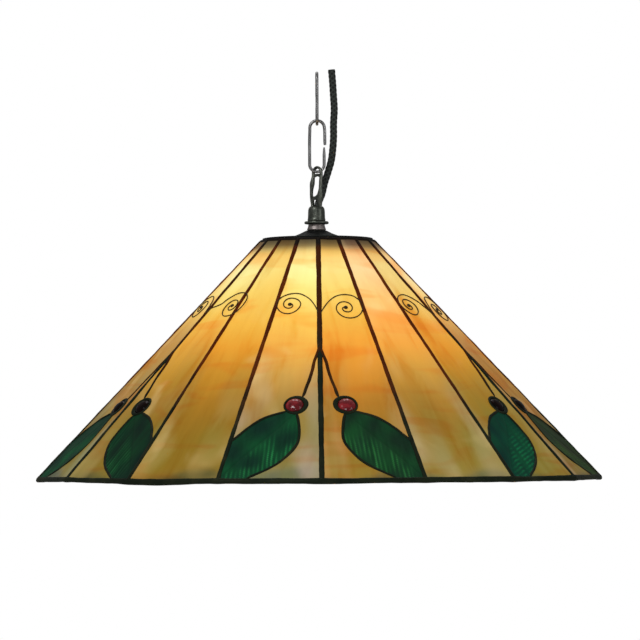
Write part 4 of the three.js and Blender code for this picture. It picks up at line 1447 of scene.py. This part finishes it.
def pale_floor():
    """Looks pure white to the camera and is a pale diffuse surface to all other rays."""
    mesh = bpy.data.meshes.new("floor")
    corners = ((-1, -1), (1, -1), (1, 1), (-1, 1))
    mesh.from_pydata([(x * FLOOR_HALF, y * FLOOR_HALF, FLOOR_Z) for x, y in corners],
                     [], [(0, 1, 2, 3)])
    floor = bpy.data.objects.new("floor", mesh)
    scene.collection.objects.link(floor)
    material = bpy.data.materials.new("pale_floor")
    nodes, links = empty_tree(material)
    output = nodes.new("ShaderNodeOutputMaterial")
    diffuse = nodes.new("ShaderNodeBsdfDiffuse")
    diffuse.inputs["Color"].default_value = (0.86, 0.86, 0.85, 1)
    emission = nodes.new("ShaderNodeEmission")
    emission.inputs["Color"].default_value = (1, 1, 1, 1)
    rays = nodes.new("ShaderNodeLightPath")
    blend = nodes.new("ShaderNodeMixShader")
    links.new(rays.outputs["Is Camera Ray"], blend.inputs[0])
    links.new(diffuse.outputs[0], blend.inputs[1])
    links.new(emission.outputs[0], blend.inputs[2])
    links.new(blend.outputs[0], output.inputs["Surface"])
    mesh.materials.append(material)


white_world()
pale_floor()

# ------------------------------------------------------------------ lights (metres, watts)


def area_light(name, location, size, power, target_z=0.15):
    """A rectangular light aimed at a point on the shade's axis."""
    light = bpy.data.lights.new(name, "AREA")
    light.shape = "RECTANGLE"
    light.size, light.size_y = size
    light.energy = power
    light.color = (1, 1, 1)
    obj = bpy.data.objects.new(name, light)
    scene.collection.objects.link(obj)
    obj.location = location
    obj.rotation_mode = "QUATERNION"
    aim = Vector((0, 0, target_z)) - Vector(location)
    obj.rotation_quaternion = aim.to_track_quat("-Z", "Y")


area_light("key", location=(-1.3, -1.9, 1.9), size=(0.9, 0.9), power=17)
area_light("fill", location=(2.0, -1.6, 0.9), size=(1.2, 1.2), power=6)
area_light("back", location=(0.0, 1.6, 3.0), size=(1.4, 1.0), power=9)
area_light("strip", location=(-0.26, -2.6, 0.55), size=(0.16, 1.0), power=2.6, target_z=0.24)

glow = bpy.data.lights.new("bulb_light", "POINT")
glow.energy = 2.2
glow.color = (1.0, 0.84, 0.62)
glow.shadow_soft_size = 0.03
glow_object = bpy.data.objects.new("bulb_light", glow)
scene.collection.objects.link(glow_object)
glow_object.location = (0.0, 0.0, 0.056)
glow_object.parent = frame["bodies"]["lamp"]

# ------------------------------------------------------------------ camera

# a long lens a little above the rim, turned very slightly upwards
CAMERA_DISTANCE, CAMERA_ABOVE_RIM = 3105.05, 31.888
PITCH, YAW, ROLL = 0.0358639, 0.00090908, 0.00485       # radians
ORBIT = 0.01025299                                      # radians about Z

x_axis = Vector((math.cos(YAW), -math.sin(YAW), 0))
y_axis = Vector((math.sin(YAW), math.cos(YAW), 0))
z_axis = Vector((0, 0, 1))
forward = math.cos(PITCH) * y_axis + math.sin(PITCH) * z_axis
level_up = -math.sin(PITCH) * y_axis + math.cos(PITCH) * z_axis
right = math.cos(ROLL) * x_axis - math.sin(ROLL) * level_up
up = math.sin(ROLL) * x_axis + math.cos(ROLL) * level_up
orbit = Matrix.Rotation(-ORBIT, 3, "Z")
location = (orbit @ Vector((0, -CAMERA_DISTANCE * MM, 0))
            + Vector((0, 0, (CAMERA_ABOVE_RIM + RIM_Z) * MM)))
columns = (orbit @ right, orbit @ up, orbit @ (-forward), location)

camera = bpy.data.cameras.new("camera")
camera.sensor_width = 36.0
camera.lens = 192.28831875
camera.shift_x = -0.00171875
camera.clip_end = 50.0
camera_object = bpy.data.objects.new("camera", camera)
scene.collection.objects.link(camera_object)
camera_object.matrix_world = Matrix((*zip(*columns), (0, 0, 0, 1)))
scene.camera = camera_object
